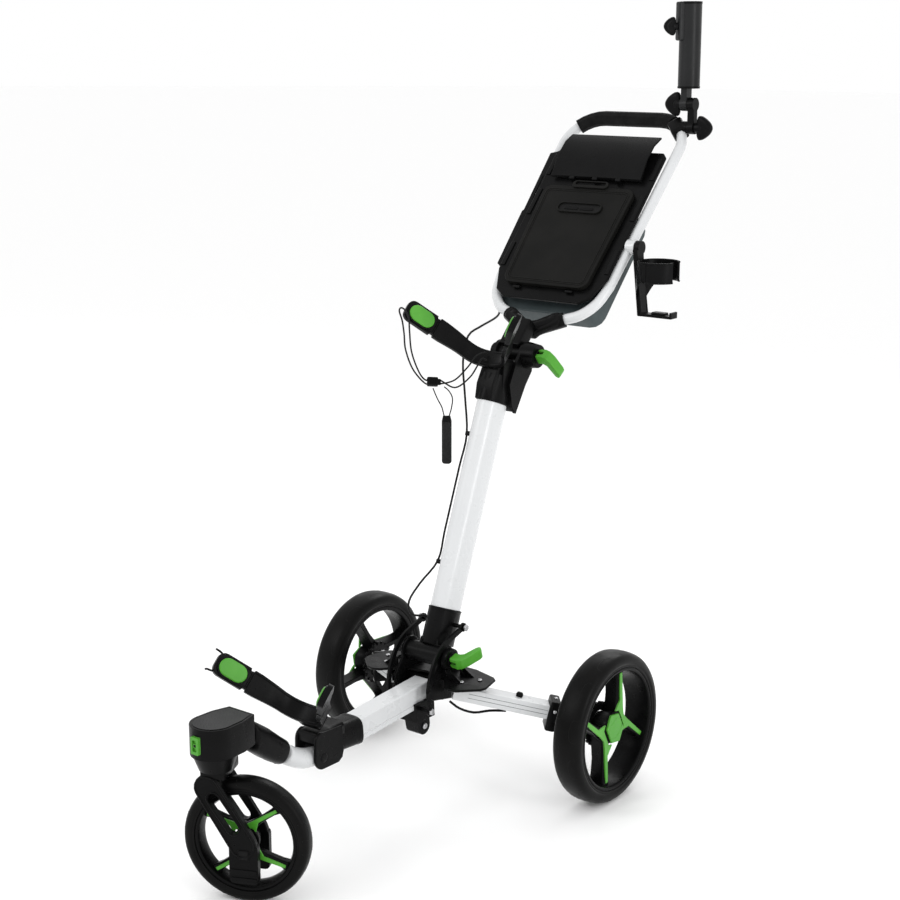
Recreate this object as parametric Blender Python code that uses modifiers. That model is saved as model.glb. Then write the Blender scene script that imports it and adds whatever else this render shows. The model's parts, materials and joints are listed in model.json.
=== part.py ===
"""Three-wheeled golf push trolley, as an assembly of separate moving pieces.

Axes: +X is the trolley's left, -Y the way it is pushed, +Z up; metres. Everything is placed
from the point on the floor under the middle of the rear axle line, and the empty "trolley"
then moves the whole so that its bounding box is centred on the origin in plan.
"""

from math import atan2, cos, pi, radians, sin, tan

import bmesh
import bpy
from mathutils import Euler, Matrix, Vector

# Driving dimensions
GAP = 0.0003  # between pieces that touch
REAR_RADIUS, REAR_WIDTH, REAR_OPENING = 0.145, 0.059, 0.1137
REAR_HALF_TRACK = 0.291
FRONT_RADIUS, FRONT_WIDTH, FRONT_OPENING = 0.1096, 0.036, 0.0848
SPOKE_HALF_ANGLE = radians(51)  # half the angle between the two spokes of one V
CASTER_Y, CASTER_TRAIL = -0.733, 0.047
CASTER_SWIVEL = radians(-65)  # the front wheel stands turned across the trolley
CASTER_SIDE = -0.017  # the wheel and its legs stand a little to one side of the swivel
FOLD_Y, FOLD_Z = -0.174, 0.275  # lower pivot, where the main tube folds forward
MAIN_LEAN = radians(21.3)
MAIN_OFFSET = 0.0257  # the main tube's axis lies this far behind its pivot
SLEEVE_LOW, SLEEVE_HIGH = 0.0205, 0.0894  # along the main tube, above the lower pivot
TUBE_HIGH, COLLAR_HIGH = 0.4915, 0.5440
TUBE_HALF_WIDTH, TUBE_HALF_DEPTH = 0.0245, 0.0350
UPPER_Y, UPPER_Z = 0.098, 0.810  # upper pivot, where the handle folds back
LEVER_X = 0.0620  # where both quick-release levers begin, outside the bosses
CONSOLE_Y, CONSOLE_Z, CONSOLE_TILT = 0.187, 0.917, radians(47.3)
LOOP_RADIUS, LOOP_DEPTH = 0.0105, 0.0225  # the loop's tube lies below the console's face
LOOP_LOW, LOOP_HIGH = 0.129, 0.141  # half the loop's width at its foot and at its top
LOOP_LENGTH = 0.460
ARM_PIVOT_X, ARM_PIVOT_Y = 0.075, -0.168
ARM_SWEEP, ARM_DROP = radians(40.5), radians(13.6)
ARM_HALF_WIDTH, ARM_HALF_HEIGHT = 0.0180, 0.0140
FRONT_TUBE_SLOPE = radians(3.8)
FRONT_HINGE_Y, FRONT_HINGE_Z = -0.496, 0.180
BOX_CENTRE_Y = -0.1244  # the middle of the whole trolley, front to back

for old in list(bpy.data.objects):
    bpy.data.objects.remove(old, do_unlink=True)
PARTS = bpy.data.collections.new("golf_push_trolley")
CUTTERS = bpy.data.collections.new("cutters")
bpy.context.scene.collection.children.link(PARTS)
bpy.context.scene.collection.children.link(CUTTERS)


def finish(name, colour, roughness, metallic=0.0):
    material = bpy.data.materials.new(name)
    material.use_nodes = True
    shader = material.node_tree.nodes["Principled BSDF"]
    shader.inputs["Base Color"].default_value = (*colour, 1)
    shader.inputs["Roughness"].default_value = roughness
    shader.inputs["Metallic"].default_value = metallic
    return material


WHITE = finish("white_paint", (0.86, 0.87, 0.87), 0.25)
BLACK = finish("black_plastic", (0.018, 0.018, 0.019), 0.45)
RUBBER = finish("rubber", (0.022, 0.022, 0.022), 0.75)
FOAM = finish("foam_grip", (0.016, 0.016, 0.016), 0.9)
GREEN = finish("green_plastic", (0.07, 0.62, 0.05), 0.35)
SLATE = finish("slate_plastic", (0.11, 0.14, 0.14), 0.5)
STEEL = finish("steel", (0.55, 0.55, 0.56), 0.3, 1.0)
CORD = finish("black_cord", (0.012, 0.012, 0.012), 0.8)
WEBBING = finish("woven_tag", (0.015, 0.015, 0.015), 0.85)


def frame(x=0.0, y=0.0, z=0.0, turn_x=0.0, turn_y=0.0, turn_z=0.0):
    return Matrix.Translation((x, y, z)) @ Euler((turn_x, turn_y, turn_z)).to_matrix().to_4x4()


FLOOR = frame()
MAIN = frame(0, FOLD_Y, FOLD_Z, turn_x=-MAIN_LEAN)  # local Z runs up along the main tube
CONSOLE = frame(0, CONSOLE_Y, CONSOLE_Z, turn_x=CONSOLE_TILT)  # local Y up it, local Z its face
SWIVEL = frame(0, CASTER_Y, 0, turn_z=CASTER_SWIVEL)  # local X along the axle, Y the trail
CASTER = SWIVEL @ frame(CASTER_SIDE, 0, 0)  # the same, in the front wheel's middle plane
ALONG = {"X": (0, pi / 2, 0), "Y": (-pi / 2, 0, 0), "Z": (0, 0, 0)}

BODIES = {}


def body(name, x, y, z, parent=None):
    """An empty on the joint's axis, which carries the pieces of one moving body."""
    empty = bpy.data.objects.new("body_" + name, None)
    PARTS.objects.link(empty)
    empty.location = (x, y, z)
    BODIES[name] = empty
    bpy.context.view_layer.update()
    if parent:
        hang(empty, BODIES[parent])
    return empty


def hang(child, parent):
    child.parent = parent
    child.matrix_parent_inverse = parent.matrix_world.inverted()


def add(name, data, where):
    piece = bpy.data.objects.new(name, data)
    PARTS.objects.link(piece)
    piece.matrix_world = where
    return piece


def from_bmesh(name, work, where):
    mesh = bpy.data.meshes.new(name)
    bmesh.ops.recalc_face_normals(work, faces=work.faces)
    work.to_mesh(mesh)
    work.free()
    mesh.shade_smooth()
    mesh.set_sharp_from_angle(angle=radians(35))
    return add(name, mesh, where)


def round_edges(piece, width, segments=2, angle=40):
    bevel = piece.modifiers.new("round_edges", "BEVEL")
    bevel.width = width
    bevel.segments = segments
    bevel.limit_method = "ANGLE"
    bevel.angle_limit = radians(angle)
    return piece


def block(name, size, at, where=FLOOR, turn=(0, 0, 0), rounding=0.0):
    work = bmesh.new()
    bmesh.ops.create_cube(work, size=1, matrix=Matrix.Diagonal((*size, 1)))
    place = where @ Matrix.Translation(at) @ Euler(turn).to_matrix().to_4x4()
    piece = from_bmesh(name, work, place)
    return round_edges(piece, rounding) if rounding else piece


def rod(name, radius, low, high, at=(0, 0, 0), along="X", where=FLOOR, sides=20, end=None):
    """A round bar between two distances along one axis; end is the radius at the high end."""
    work = bmesh.new()
    bmesh.ops.create_cone(
        work,
        cap_ends=True,
        segments=sides,
        radius1=radius,
        radius2=radius if end is None else end,
        depth=high - low,
        matrix=Matrix.Translation((0, 0, (low + high) / 2)),
    )
    place = where @ Matrix.Translation(at) @ Euler(ALONG[along]).to_matrix().to_4x4()
    return from_bmesh(name, work, place)


def turned(name, profile, along="X", where=FLOOR, at=(0, 0, 0), steps=40):
    """A closed profile of (distance, radius) points, outer side upwards, swept round an axis."""
    mesh = bpy.data.meshes.new(name)
    count = len(profile)
    edges = [(n, (n + 1) % count) for n in range(count)]
    points = [(radius, 0, height) for height, radius in reversed(profile)]
    mesh.from_pydata(points, edges, [])
    place = where @ Matrix.Translation(at) @ Euler(ALONG[along]).to_matrix().to_4x4()
    piece = add(name, mesh, place)
    screw = piece.modifiers.new("turn", "SCREW")
    screw.axis = "Z"
    screw.steps = screw.render_steps = steps
    screw.use_merge_vertices = True
    screw.merge_threshold = 0.00005
    screw.use_smooth_shade = True
    return piece


def plate(name, outline, low, high, where=FLOOR, holes=()):
    """A flat outline in local XY, filled between two heights along local Z, as a mesh."""
    curve = bpy.data.curves.new(name, "CURVE")
    curve.dimensions = "2D"
    curve.fill_mode = "BOTH"
    curve.extrude = (high - low) / 2
    for loop in (outline, *holes):
        spline = curve.splines.new("POLY")
        spline.points.add(len(loop) - 1)
        for point, (x, y) in zip(spline.points, loop):
            point.co = (x, y, 0, 1)
        spline.use_cyclic_u = True
    return as_mesh(add(name, curve, where @ Matrix.Translation((0, 0, (low + high) / 2))))


def pipe(name, points, radius, where=FLOOR, resolution=3, closed=False):
    """A round tube along points, as a curve with filled caps."""
    curve = bpy.data.curves.new(name, "CURVE")
    curve.dimensions = "3D"
    curve.bevel_depth = radius
    curve.bevel_resolution = resolution
    curve.use_fill_caps = True
    spline = curve.splines.new("POLY")
    spline.points.add(len(points) - 1)
    for point, place in zip(spline.points, points):
        point.co = (*place, 1)
    spline.use_cyclic_u = closed
    return add(name, curve, where)


def as_mesh(curve_piece):
    """The same shape as a mesh whose caps are welded, so that it takes modifiers."""
    bpy.context.view_layer.update()
    graph = bpy.context.evaluated_depsgraph_get()
    mesh = bpy.data.meshes.new_from_object(curve_piece.evaluated_get(graph))
    work = bmesh.new()
    work.from_mesh(mesh)
    bmesh.ops.remove_doubles(work, verts=work.verts, dist=0.00002)
    bmesh.ops.recalc_face_normals(work, faces=work.faces)
    work.to_mesh(mesh)
    work.free()
    name, place = curve_piece.name, curve_piece.matrix_world.copy()
    bpy.data.objects.remove(curve_piece, do_unlink=True)
    return add(name, mesh, place)


def combine(piece, others, operation):
    """Booleans; the other pieces follow this one from now on."""
    bpy.context.view_layer.update()
    for other in others:
        hang(other, piece)
        for home in list(other.users_collection):
            home.objects.unlink(other)
        CUTTERS.objects.link(other)
        other.name = f"{piece.name}_{operation.lower()}_{len(piece.modifiers)}"
        other.hide_render = True
        other.display_type = "WIRE"
        boolean = piece.modifiers.new(operation.lower(), "BOOLEAN")
        boolean.operation = operation
        boolean.solver = "EXACT"
        boolean.object = other
    return piece


def join(piece, *others):
    return combine(piece, others, "UNION")


def cut(piece, *others):
    return combine(piece, others, "DIFFERENCE")


def own(piece, material, body_name):
    piece.data.materials.clear()
    piece.data.materials.append(material)
    bpy.context.view_layer.update()
    hang(piece, BODIES[body_name])
    return piece


def arc(centre, radius, start, stop, steps):
    """Points on an arc in a plane, with the angles in degrees."""
    turns = [radians(start + (stop - start) * n / steps) for n in range(steps + 1)]
    return [(centre[0] + radius * cos(a), centre[1] + radius * sin(a)) for a in turns]


def oval(half_x, half_y, count=24):
    """A tube section that is flatter than an ellipse along its sides."""
    turns = [2 * pi * n / count for n in range(count)]
    flat = 0.92
    return [
        (
            half_x * abs(cos(a)) ** flat * (1 if cos(a) > 0 else -1),
            half_y * abs(sin(a)) ** flat * (1 if sin(a) > 0 else -1),
        )
        for a in turns
    ]


def rounded_box(half_x, half_y, radius, steps=3):
    corners = [(1, 1, 0), (-1, 1, 90), (-1, -1, 180), (1, -1, 270)]
    points = []
    for sign_x, sign_y, start in corners:
        centre = (sign_x * (half_x - radius), sign_y * (half_y - radius))
        points += arc(centre, radius, start, start + 90, steps)
    return points


def capsule(start, stop, radius_start, radius_stop, steps=8):
    """The outline round two circles and the straight sides between them."""
    heading = atan2(stop[1] - start[1], stop[0] - start[0]) * 180 / pi
    return arc(start, radius_start, heading + 90, heading + 270, steps) + arc(
        stop, radius_stop, heading - 90, heading + 90, steps
    )


def smooth_line(points, steps):
    """A Catmull-Rom curve through points, with a number of steps on each stretch."""
    line = [Vector(p) for p in points]
    line = [2 * line[0] - line[1], *line, 2 * line[-1] - line[-2]]
    found = []
    for a, b, c, d in zip(line, line[1:], line[2:], line[3:]):
        for n in range(steps):
            t = n / steps
            found.append(
                0.5
                * (
                    2 * b
                    + (c - a) * t
                    + (2 * a - 5 * b + 4 * c - d) * t**2
                    + (3 * b - a - 3 * c + d) * t**3
                )
            )
    return found + [line[-2]]


def sideways(where, side=1):
    """A frame whose local XY is the trolley's YZ plane and whose local Z is its X."""
    return where @ Matrix(((0, 0, side, 0), (1, 0, 0, 0), (0, 1, 0, 0), (0, 0, 0, 1)))


# Wheels
def tyre(name, radius, opening, width, where):
    half = width / 2
    seat = opening + 0.005
    band = radius - seat
    profile = [
        (-0.88 * half, seat),
        (-half, seat + 0.18 * band),
        (-0.97 * half, seat + 0.55 * band),
        (-0.80 * half, seat + 0.82 * band),
        (-0.45 * half, seat + 0.96 * band),
        (0, radius),
    ]
    profile += [(-x, r) for x, r in reversed(profile[:-1])]
    return turned(name, profile, where=where, steps=44)


def rim(name, opening, width, hub_radius, spoke_depth, elbow_turn, bore, where):
    """A ring, a hub and four deep spokes, set as two V shapes back to back."""
    half, seat = width / 2 - 0.004, opening + 0.005 - GAP
    ring = [(-half, opening - 0.002), (-half, seat), (half, seat), (half, opening)]
    ring.append((0, opening - 0.004))
    piece = turned(name, ring, where=where, steps=44)
    face = 0.28 * width
    pieces = [rod("hub", hub_radius, face - 1.35 * spoke_depth, face, where=where, sides=20)]
    reach = opening - 0.001
    for side in (0, pi):
        for spread in (-SPOKE_HALF_ANGLE, SPOKE_HALF_ANGLE):
            turn = frame(turn_x=elbow_turn + side + spread)
            middle = (face - spoke_depth / 2 - 0.0005, (reach + 0.012) / 2, 0)
            size = (spoke_depth, reach - 0.012, 0.15 * opening)
            pieces.append(block("spoke", size, middle, where @ turn))
    join(piece, *pieces)
    cut(piece, rod("bore", bore, -0.1, 0.1, where=where, sides=16))
    return piece


def rear_wheel(side, label):
    facing = 1 if side > 0 else -1
    name = label + "_wheel"
    body(name, side * REAR_HALF_TRACK, 0, REAR_RADIUS, label + "_arm")
    where = frame(side * REAR_HALF_TRACK, 0, REAR_RADIUS, turn_z=0 if facing > 0 else pi)
    own(tyre(label + "_tyre", REAR_RADIUS, REAR_OPENING, REAR_WIDTH, where), RUBBER, name)
    elbow = radians(27.5 if side > 0 else 116)
    wheel_rim = rim(
        label + "_rim", REAR_OPENING, REAR_WIDTH, 0.030, 0.034, elbow, AXLE_RADIUS + 0.0005, where
    )
    own(wheel_rim, BLACK, name)
    across, point, flat = 0.0225, 0.034, 0.018
    outline = [(across, -flat), (across, flat), (0, point)]
    outline += [(-across, flat), (-across, -flat), (0, -point)]
    facing_out = where @ frame(turn_x=elbow) @ Matrix.Rotation(pi / 2, 4, "Y") @ FLIP
    low = 0.28 * REAR_WIDTH + GAP
    cap = plate(label + "_hub_cap", outline, low, low + 0.0045, facing_out)
    own(round_edges(cap, 0.0015), GREEN, name)


FLIP = Matrix.Rotation(pi / 2, 4, "Z")  # turns a plate's local X onto the wheel's local Y
AXLE_RADIUS = 0.007


def front_wheel():
    where = CASTER @ frame(0, CASTER_TRAIL, FRONT_RADIUS)
    own(tyre("front_tyre", FRONT_RADIUS, FRONT_OPENING, FRONT_WIDTH, where), RUBBER, "front_wheel")
    wheel_rim = rim(
        "front_rim", FRONT_OPENING, FRONT_WIDTH, 0.022, 0.022, radians(98), 0.0055, where
    )
    own(wheel_rim, BLACK, "front_wheel")


# Base: front tube, hub, lower bag bracket
def front_tube():
    length = 0.205
    where = frame(0, -0.186, 0.2095) @ Matrix.Rotation(pi / 2 + FRONT_TUBE_SLOPE, 4, "X")
    outline = [(0.020, -0.021), (0.020, -0.0125), (0.0182, -0.0118), (0.0182, -0.0102)]
    outline += [(0.020, -0.0095), (0.020, 0.019), (0.018, 0.021)]
    outline += [(-x, y) for x, y in reversed(outline)]
    inner = rounded_box(0.0155, 0.0165, 0.002, 1)
    own(plate("front_tube", outline, 0, length, where, [inner]), WHITE, "base")
    return where


def hub():
    """The casting with its two cheeks, and the bolt through the folding barrel."""
    shape = arc((FOLD_Y, FOLD_Z), 0.026, -20, 200, 10)
    shape += [(-0.222, 0.236), (-0.220, 0.210), (-0.208, 0.200), (-0.140, 0.186)]
    shape += [(-0.112, 0.198), (-0.112, 0.232), (-0.138, 0.252)]
    hole = arc((FOLD_Y, FOLD_Z), 0.0066, 0, 337.5, 15)
    casting = block("hub", (0.0830, 0.062, 0.040), (0, -0.149, 0.2115), rounding=0.003)
    for side in (1, -1):
        low, high = (0.0385, 0.0435) if side > 0 else (-0.0435, -0.0385)
        cheek = plate("cheek", shape, low, high, sideways(frame()), [hole])
        join(casting, round_edges(cheek, 0.001, 1))
    for side in (1, -1):
        cut(casting, block("wing_slot", (0.02, 0.0900, 0.0056), (side * 0.041, -0.1435, 0.2380)))
    neck = [(0.0410, 0.0066), (0.0410, 0.0105), (0.0505, 0.0105), (0.0505, 0.0215)]
    neck += [(0.0590, 0.0205), (0.0590, 0.0066)]
    join(casting, turned("boss", neck, at=(0, FOLD_Y, FOLD_Z), steps=24))
    own(casting, BLACK, "base")
    bolt = rod("fold_bolt", 0.006, -0.048, 0.0761, (0, FOLD_Y, FOLD_Z))
    head = rod("head", 0.0095, -0.0500, -0.0440, (0, FOLD_Y, FOLD_Z), sides=6)
    own(join(bolt, head), STEEL, "base")


def wing_plate():
    """The flat plate over both rear arms; its two pins are the arms' pivots."""
    half = [(0.0, -0.176), (0.052, -0.190), (0.078, -0.222), (0.092, -0.228), (0.108, -0.222)]
    half += [(0.139, -0.192), (0.142, -0.178), (0.131, -0.134), (0.122, -0.126)]
    half += [(0.072, -0.112), (0.0, -0.112)]
    outline = half + [(-x, y) for x, y in reversed(half[1:-1])]
    low = 0.2355
    piece = round_edges(plate("wing_plate", outline, low, low + 0.005), 0.0015, 1)
    for side in (-1, 1):
        at = (side * ARM_PIVOT_X, ARM_PIVOT_Y, 0)
        join(piece, rod("pin", 0.004, 0.196, low + 0.002, at, "Z", sides=16))
        rib = [(0.0600, low + 0.004), (0.0600, 0.2590), (0.0640, 0.2590), (0.0960, low + 0.004)]
        upright = Matrix(((1, 0, 0, 0), (0, 0, -1, 0), (0, 1, 0, 0), (0, 0, 0, 1)))
        for low_y in (0.148, 0.186):
            ribs = [(side * x, z) for x, z in rib]
            join(piece, plate("rib", ribs, low_y, low_y + 0.003, upright))
    own(piece, BLACK, "base")


def front_block(tube_frame):
    """The casting on the front tube's end, with the ears of the front arm's hinge."""
    side_view = [(-0.405, 0.2305), (-0.405, 0.1810), (-0.4455, 0.1785), (-0.4455, 0.1640)]
    side_view += [(-0.4500, 0.1600), (-0.5080, 0.1570), (-0.5170, 0.1660), (-0.5170, 0.2200)]
    side_view += [(-0.5080, 0.2290)]
    casting = plate("front_joint", side_view, -0.0252, 0.0252, sideways(frame()))
    round_edges(casting, 0.003, 2)
    collar = plate("collar", rounded_box(0.0265, 0.0270, 0.007), 0.2053, 0.2400, tube_frame)
    slot = block("slot", (0.0372, 0.0610, 0.0560), (0, -0.5038, 0.1791))
    pin = rod("pin", 0.0045, -0.0231, 0.0231, (0, FRONT_HINGE_Y, FRONT_HINGE_Z), sides=16)
    join(casting, collar)
    cut(casting, slot)
    own(join(casting, pin), BLACK, "base")


def cradle(prefix, where, root_size, root_at, body_name):
    """A bag bracket: a V of two tall straps, each with a soft oval pad inside its tip."""
    thick, tall = 0.009, 0.043
    half = [(0.0, 0.0), (0.026, 0.004), (0.044, 0.018), (0.060, 0.048)]
    half += [(0.082, 0.078), (0.104, 0.108), (0.128, 0.142)]
    line = [Vector(p) for p in half]
    line = [Vector((-p.x, p.y)) for p in reversed(line[1:])] + line
    line = [p.to_3d() for p in line]
    line = [p.to_2d() for p in smooth_line(line, 2)]
    inner, outer = [], []
    for n, point in enumerate(line):
        before, after = line[max(n - 1, 0)], line[min(n + 1, len(line) - 1)]
        ahead = (after - before).normalized()
        square = Vector((-ahead.y, ahead.x)) * thick / 2
        inner.append(tuple(point + square))
        outer.append(tuple(point - square))
    outline = inner + list(reversed(outer))
    strap = plate(prefix + "_bag_bracket", outline, -tall / 2, tall / 2, where)
    join(strap, block("root", root_size, root_at, where, rounding=0.003))
    own(strap, BLACK, body_name)
    tip, before = Vector(half[-1]), Vector(half[-2])
    heading = (tip - before).normalized()
    middle = tip - heading * 0.034
    for side, label in ((1, "left"), (-1, "right")):
        inward = Vector((-heading.y, heading.x))
        ahead = Vector((side * heading.x, heading.y, 0))
        inward = Vector((side * inward.x, inward.y, 0))
        at = Vector((side * middle.x, middle.y, 0)) + inward * (thick / 2 + GAP)
        axes = Matrix((ahead, ahead.cross(inward) * -1, inward)).transposed().to_4x4()
        spot = where @ Matrix.Translation(at) @ axes
        pad = plate(f"{prefix}_bag_pad_{label}", oval(0.026, 0.0185, 20), 0, 0.006, spot)
        own(round_edges(pad, 0.002, 1), GREEN, body_name)


# Main tube
def main_tube():
    sleeve_frame = MAIN @ frame(0, MAIN_OFFSET, 0)
    outer = oval(TUBE_HALF_WIDTH + 0.002, TUBE_HALF_DEPTH + 0.002)
    sleeve = plate("main_lower_sleeve", outer, SLEEVE_LOW, SLEEVE_HIGH, sleeve_frame)
    barrel = rod("barrel", 0.0190, -0.0380, 0.0380, where=MAIN, sides=24)
    web = block("web", (0.040, 0.040, 0.034), (0, 0.0165, 0.0125), MAIN)
    pins = rod("pins", 0.004, -0.0450, 0.0450, (0, LINK_HIGH.x, LINK_HIGH.y), sides=16)
    join(sleeve, barrel, web, pins)
    cut(sleeve, rod("bore", 0.0064, -0.1, 0.1, where=MAIN, sides=20))
    own(sleeve, BLACK, "main")
    section = oval(TUBE_HALF_WIDTH, TUBE_HALF_DEPTH)
    wall = [oval(TUBE_HALF_WIDTH - 0.003, TUBE_HALF_DEPTH - 0.003)]
    low, high = SLEEVE_HIGH + GAP, TUBE_HIGH - GAP
    own(plate("main_tube", section, low, high, sleeve_frame, wall), WHITE, "main")
    top = plate("main_upper_sleeve", outer, TUBE_HIGH, COLLAR_HIGH, sleeve_frame)
    ear = [(0.040, 0.760), (0.048, 0.716), (0.060, 0.701), (0.092, 0.752), (0.112, 0.776)]
    ear += arc((UPPER_Y, UPPER_Z), 0.0240, -40, 170, 10)
    ear += [(0.058, 0.795)]
    cheeks = [
        plate("ear", ear, low, low + 0.0070, sideways(frame())) for low in (-0.0335, 0.0265)
    ]
    spine = [(0.050, 0.740), (0.0655, 0.7150), (0.084, 0.745), (0.088, 0.768), (0.056, 0.775)]
    spine = plate("spine", spine, -0.028, 0.028, sideways(frame()))
    boss = rod("boss", 0.0260, 0.0330, 0.0590, (0, UPPER_Y, UPPER_Z), end=0.0225, sides=24)
    far_boss = rod("boss", 0.0170, -0.0440, -0.0330, (0, UPPER_Y, UPPER_Z), sides=20)
    bolt = rod("bolt", 0.005, -0.048, 0.0735, (0, UPPER_Y, UPPER_Z), sides=16)
    join(top, *cheeks, spine, boss, far_boss, bolt)
    own(top, BLACK, "main")


LINK_HIGH = Vector((-0.125, 0.323))  # the link's two pins, in Y and Z
LINK_LOW = Vector((-0.226, 0.186))


def folding_links():
    """Curved bars from the main tube's sleeve round the pivot to a clevis on the front tube."""
    high, low = LINK_HIGH, LINK_LOW
    chord = high - low
    bow = Vector((-chord.y, chord.x)).normalized() * 0.041
    line = [low, low + 0.24 * chord + 0.8 * bow, low + 0.62 * chord + bow, high]
    line = [p.to_2d() for p in smooth_line([p.to_3d() for p in line], 4)]
    line = [line[0] + (line[0] - line[1]) * 0.4, *line, line[-1] + (line[-1] - line[-2]) * 0.4]
    half = 0.0050
    left_side, right_side = [], []
    for before, point, after in zip(line, line[1:], line[2:]):
        ahead = (after - before).normalized() * half
        left_side.append((point.x - ahead.y, point.y + ahead.x))
        right_side.append((point.x + ahead.y, point.y - ahead.x))
    outline = left_side + list(reversed(right_side))
    for side, label in ((1, "left"), (-1, "right")):
        low_x, high_x = sorted((side * 0.0455, side * 0.0500))
        bar = plate(f"fold_link_{label}", outline, low_x, high_x, sideways(frame()))
        for eye in (high, low):
            join(bar, rod("eye", 0.0085, low_x, high_x, (0, eye.x, eye.y), sides=20))
        head_low, head_high = sorted((side * 0.0490, side * 0.0540))
        join(bar, rod("bolt_head", 0.0060, head_low, head_high, (0, high.x, high.y), sides=6))
        at = (0, low.x, low.y)
        cut(bar, rod("hole", 0.0044, low_x - 0.01, high_x + 0.01, at, sides=16))
        own(bar, BLACK, "fold_links")
    shape = [(-0.186, 0.197), (-0.184, 0.160), (-0.238, 0.160), (-0.240, 0.197)]
    clevis = plate("link_clevis", shape, -0.0260, 0.0260, sideways(frame()))
    lobe = [(-0.190, 0.170), (-0.186, 0.144), *arc((-0.203, 0.142), 0.0170, 0, -150, 8)]
    lobe += [(-0.226, 0.170)]
    join(clevis, plate("lobe", lobe, -0.0160, 0.0160, sideways(frame())))
    cut(clevis, block("tube_space", (0.0406, 0.12, 0.05), (0, -0.235, 0.2085)))
    join(clevis, rod("pin", 0.004, -0.0510, -0.0225, (0, low.x, low.y), sides=16))
    join(clevis, rod("pin", 0.004, 0.0225, 0.0510, (0, low.x, low.y), sides=16))
    own(clevis, BLACK, "link_slider")


def cam_lever(name, root, outward, heading, material_body):
    """A green quick-release lever: a forked eye on the bolt's end and a bent thumb piece."""
    across = outward.cross(heading)
    axes = Matrix((outward, heading, across)).transposed().to_4x4()
    where = Matrix.Translation(root) @ axes
    side_view = [(0.0, -0.011), (0.016, -0.012), (0.025, -0.007), (0.031, 0.004)]
    side_view += [(0.039, 0.034), (0.038, 0.042), (0.032, 0.045), (0.027, 0.040)]
    side_view += [(0.018, 0.014), (0.012, 0.010), (0.0, 0.010)]
    lever = plate(name, side_view, -0.0105, 0.0105, where)
    round_edges(lever, 0.0025, 2)
    cut(lever, block("fork_slot", (0.030, 0.040, 0.0070), (0.0, 0, 0), where))
    cut(lever, rod("bore", 0.0064, -0.01, 0.0150, where=where, sides=20))
    own(lever, GREEN, material_body)


# Rear arms
def rear_arm(side, label):
    """A swept-back tube, the wheel bracket with its axle, and the brake rod below."""
    arm = label + "_arm"
    body(arm, side * ARM_PIVOT_X, ARM_PIVOT_Y, 0.21, "base")
    sweep = Matrix.Rotation(side * ARM_SWEEP, 4, "Z")
    mirror = Matrix.Identity(4) if side > 0 else Matrix.Rotation(pi, 4, "Z")
    drop = Matrix.Rotation(ARM_DROP, 4, "Y")
    where = Matrix.Translation((side * ARM_PIVOT_X, ARM_PIVOT_Y, 0.2143)) @ sweep @ mirror @ drop
    outline = rounded_box(ARM_HALF_HEIGHT, ARM_HALF_WIDTH, 0.004, 2)
    lengthwise = where @ Matrix.Rotation(pi / 2, 4, "Y")
    inner = rounded_box(ARM_HALF_HEIGHT - 0.003, ARM_HALF_WIDTH - 0.003, 0.002, 1)
    tube = plate(label + "_arm_tube", outline, -0.014, 0.168, lengthwise, [inner])
    pivot = (side * ARM_PIVOT_X, ARM_PIVOT_Y, 0)
    cut(tube, rod("bore", 0.0043, 0.1, 0.3, pivot, "Z", sides=16))
    own(tube, WHITE, arm)
    bracket = block(
        label + "_wheel_bracket", (0.020, 0.044, 0.060), (0.1785, 0, -0.005), where, rounding=0.004
    )
    neck = block("neck", (0.064, 0.036, 0.038), (0.2035, 0, -0.010), where, rounding=0.004)
    axle_at = (0, 0, REAR_RADIUS)
    inner_x, outer_x = sorted((side * 0.190, side * (REAR_HALF_TRACK - 0.0335)))
    boss = rod("boss", 0.021, inner_x, outer_x, axle_at, sides=20)
    inner_x, outer_x = sorted((side * 0.2, side * (REAR_HALF_TRACK + 0.0155)))
    axle = rod("axle", AXLE_RADIUS, inner_x, outer_x, axle_at, sides=16)
    own(join(bracket, neck, boss, axle), BLACK, arm)
    route = [(-0.016, 0, -0.022), (0.006, 0, -0.032), (0.034, 0, -0.034)]
    route += [(0.062, 0, -0.024), (0.092, 0, -0.0175)]
    rod_line = [(x, -0.004, z) for x, _, z in smooth_line(route, 3)]
    brake_rod = pipe(label + "_brake_rod", rod_line, 0.0025, where, 1)
    own(brake_rod, STEEL, arm)


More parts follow.
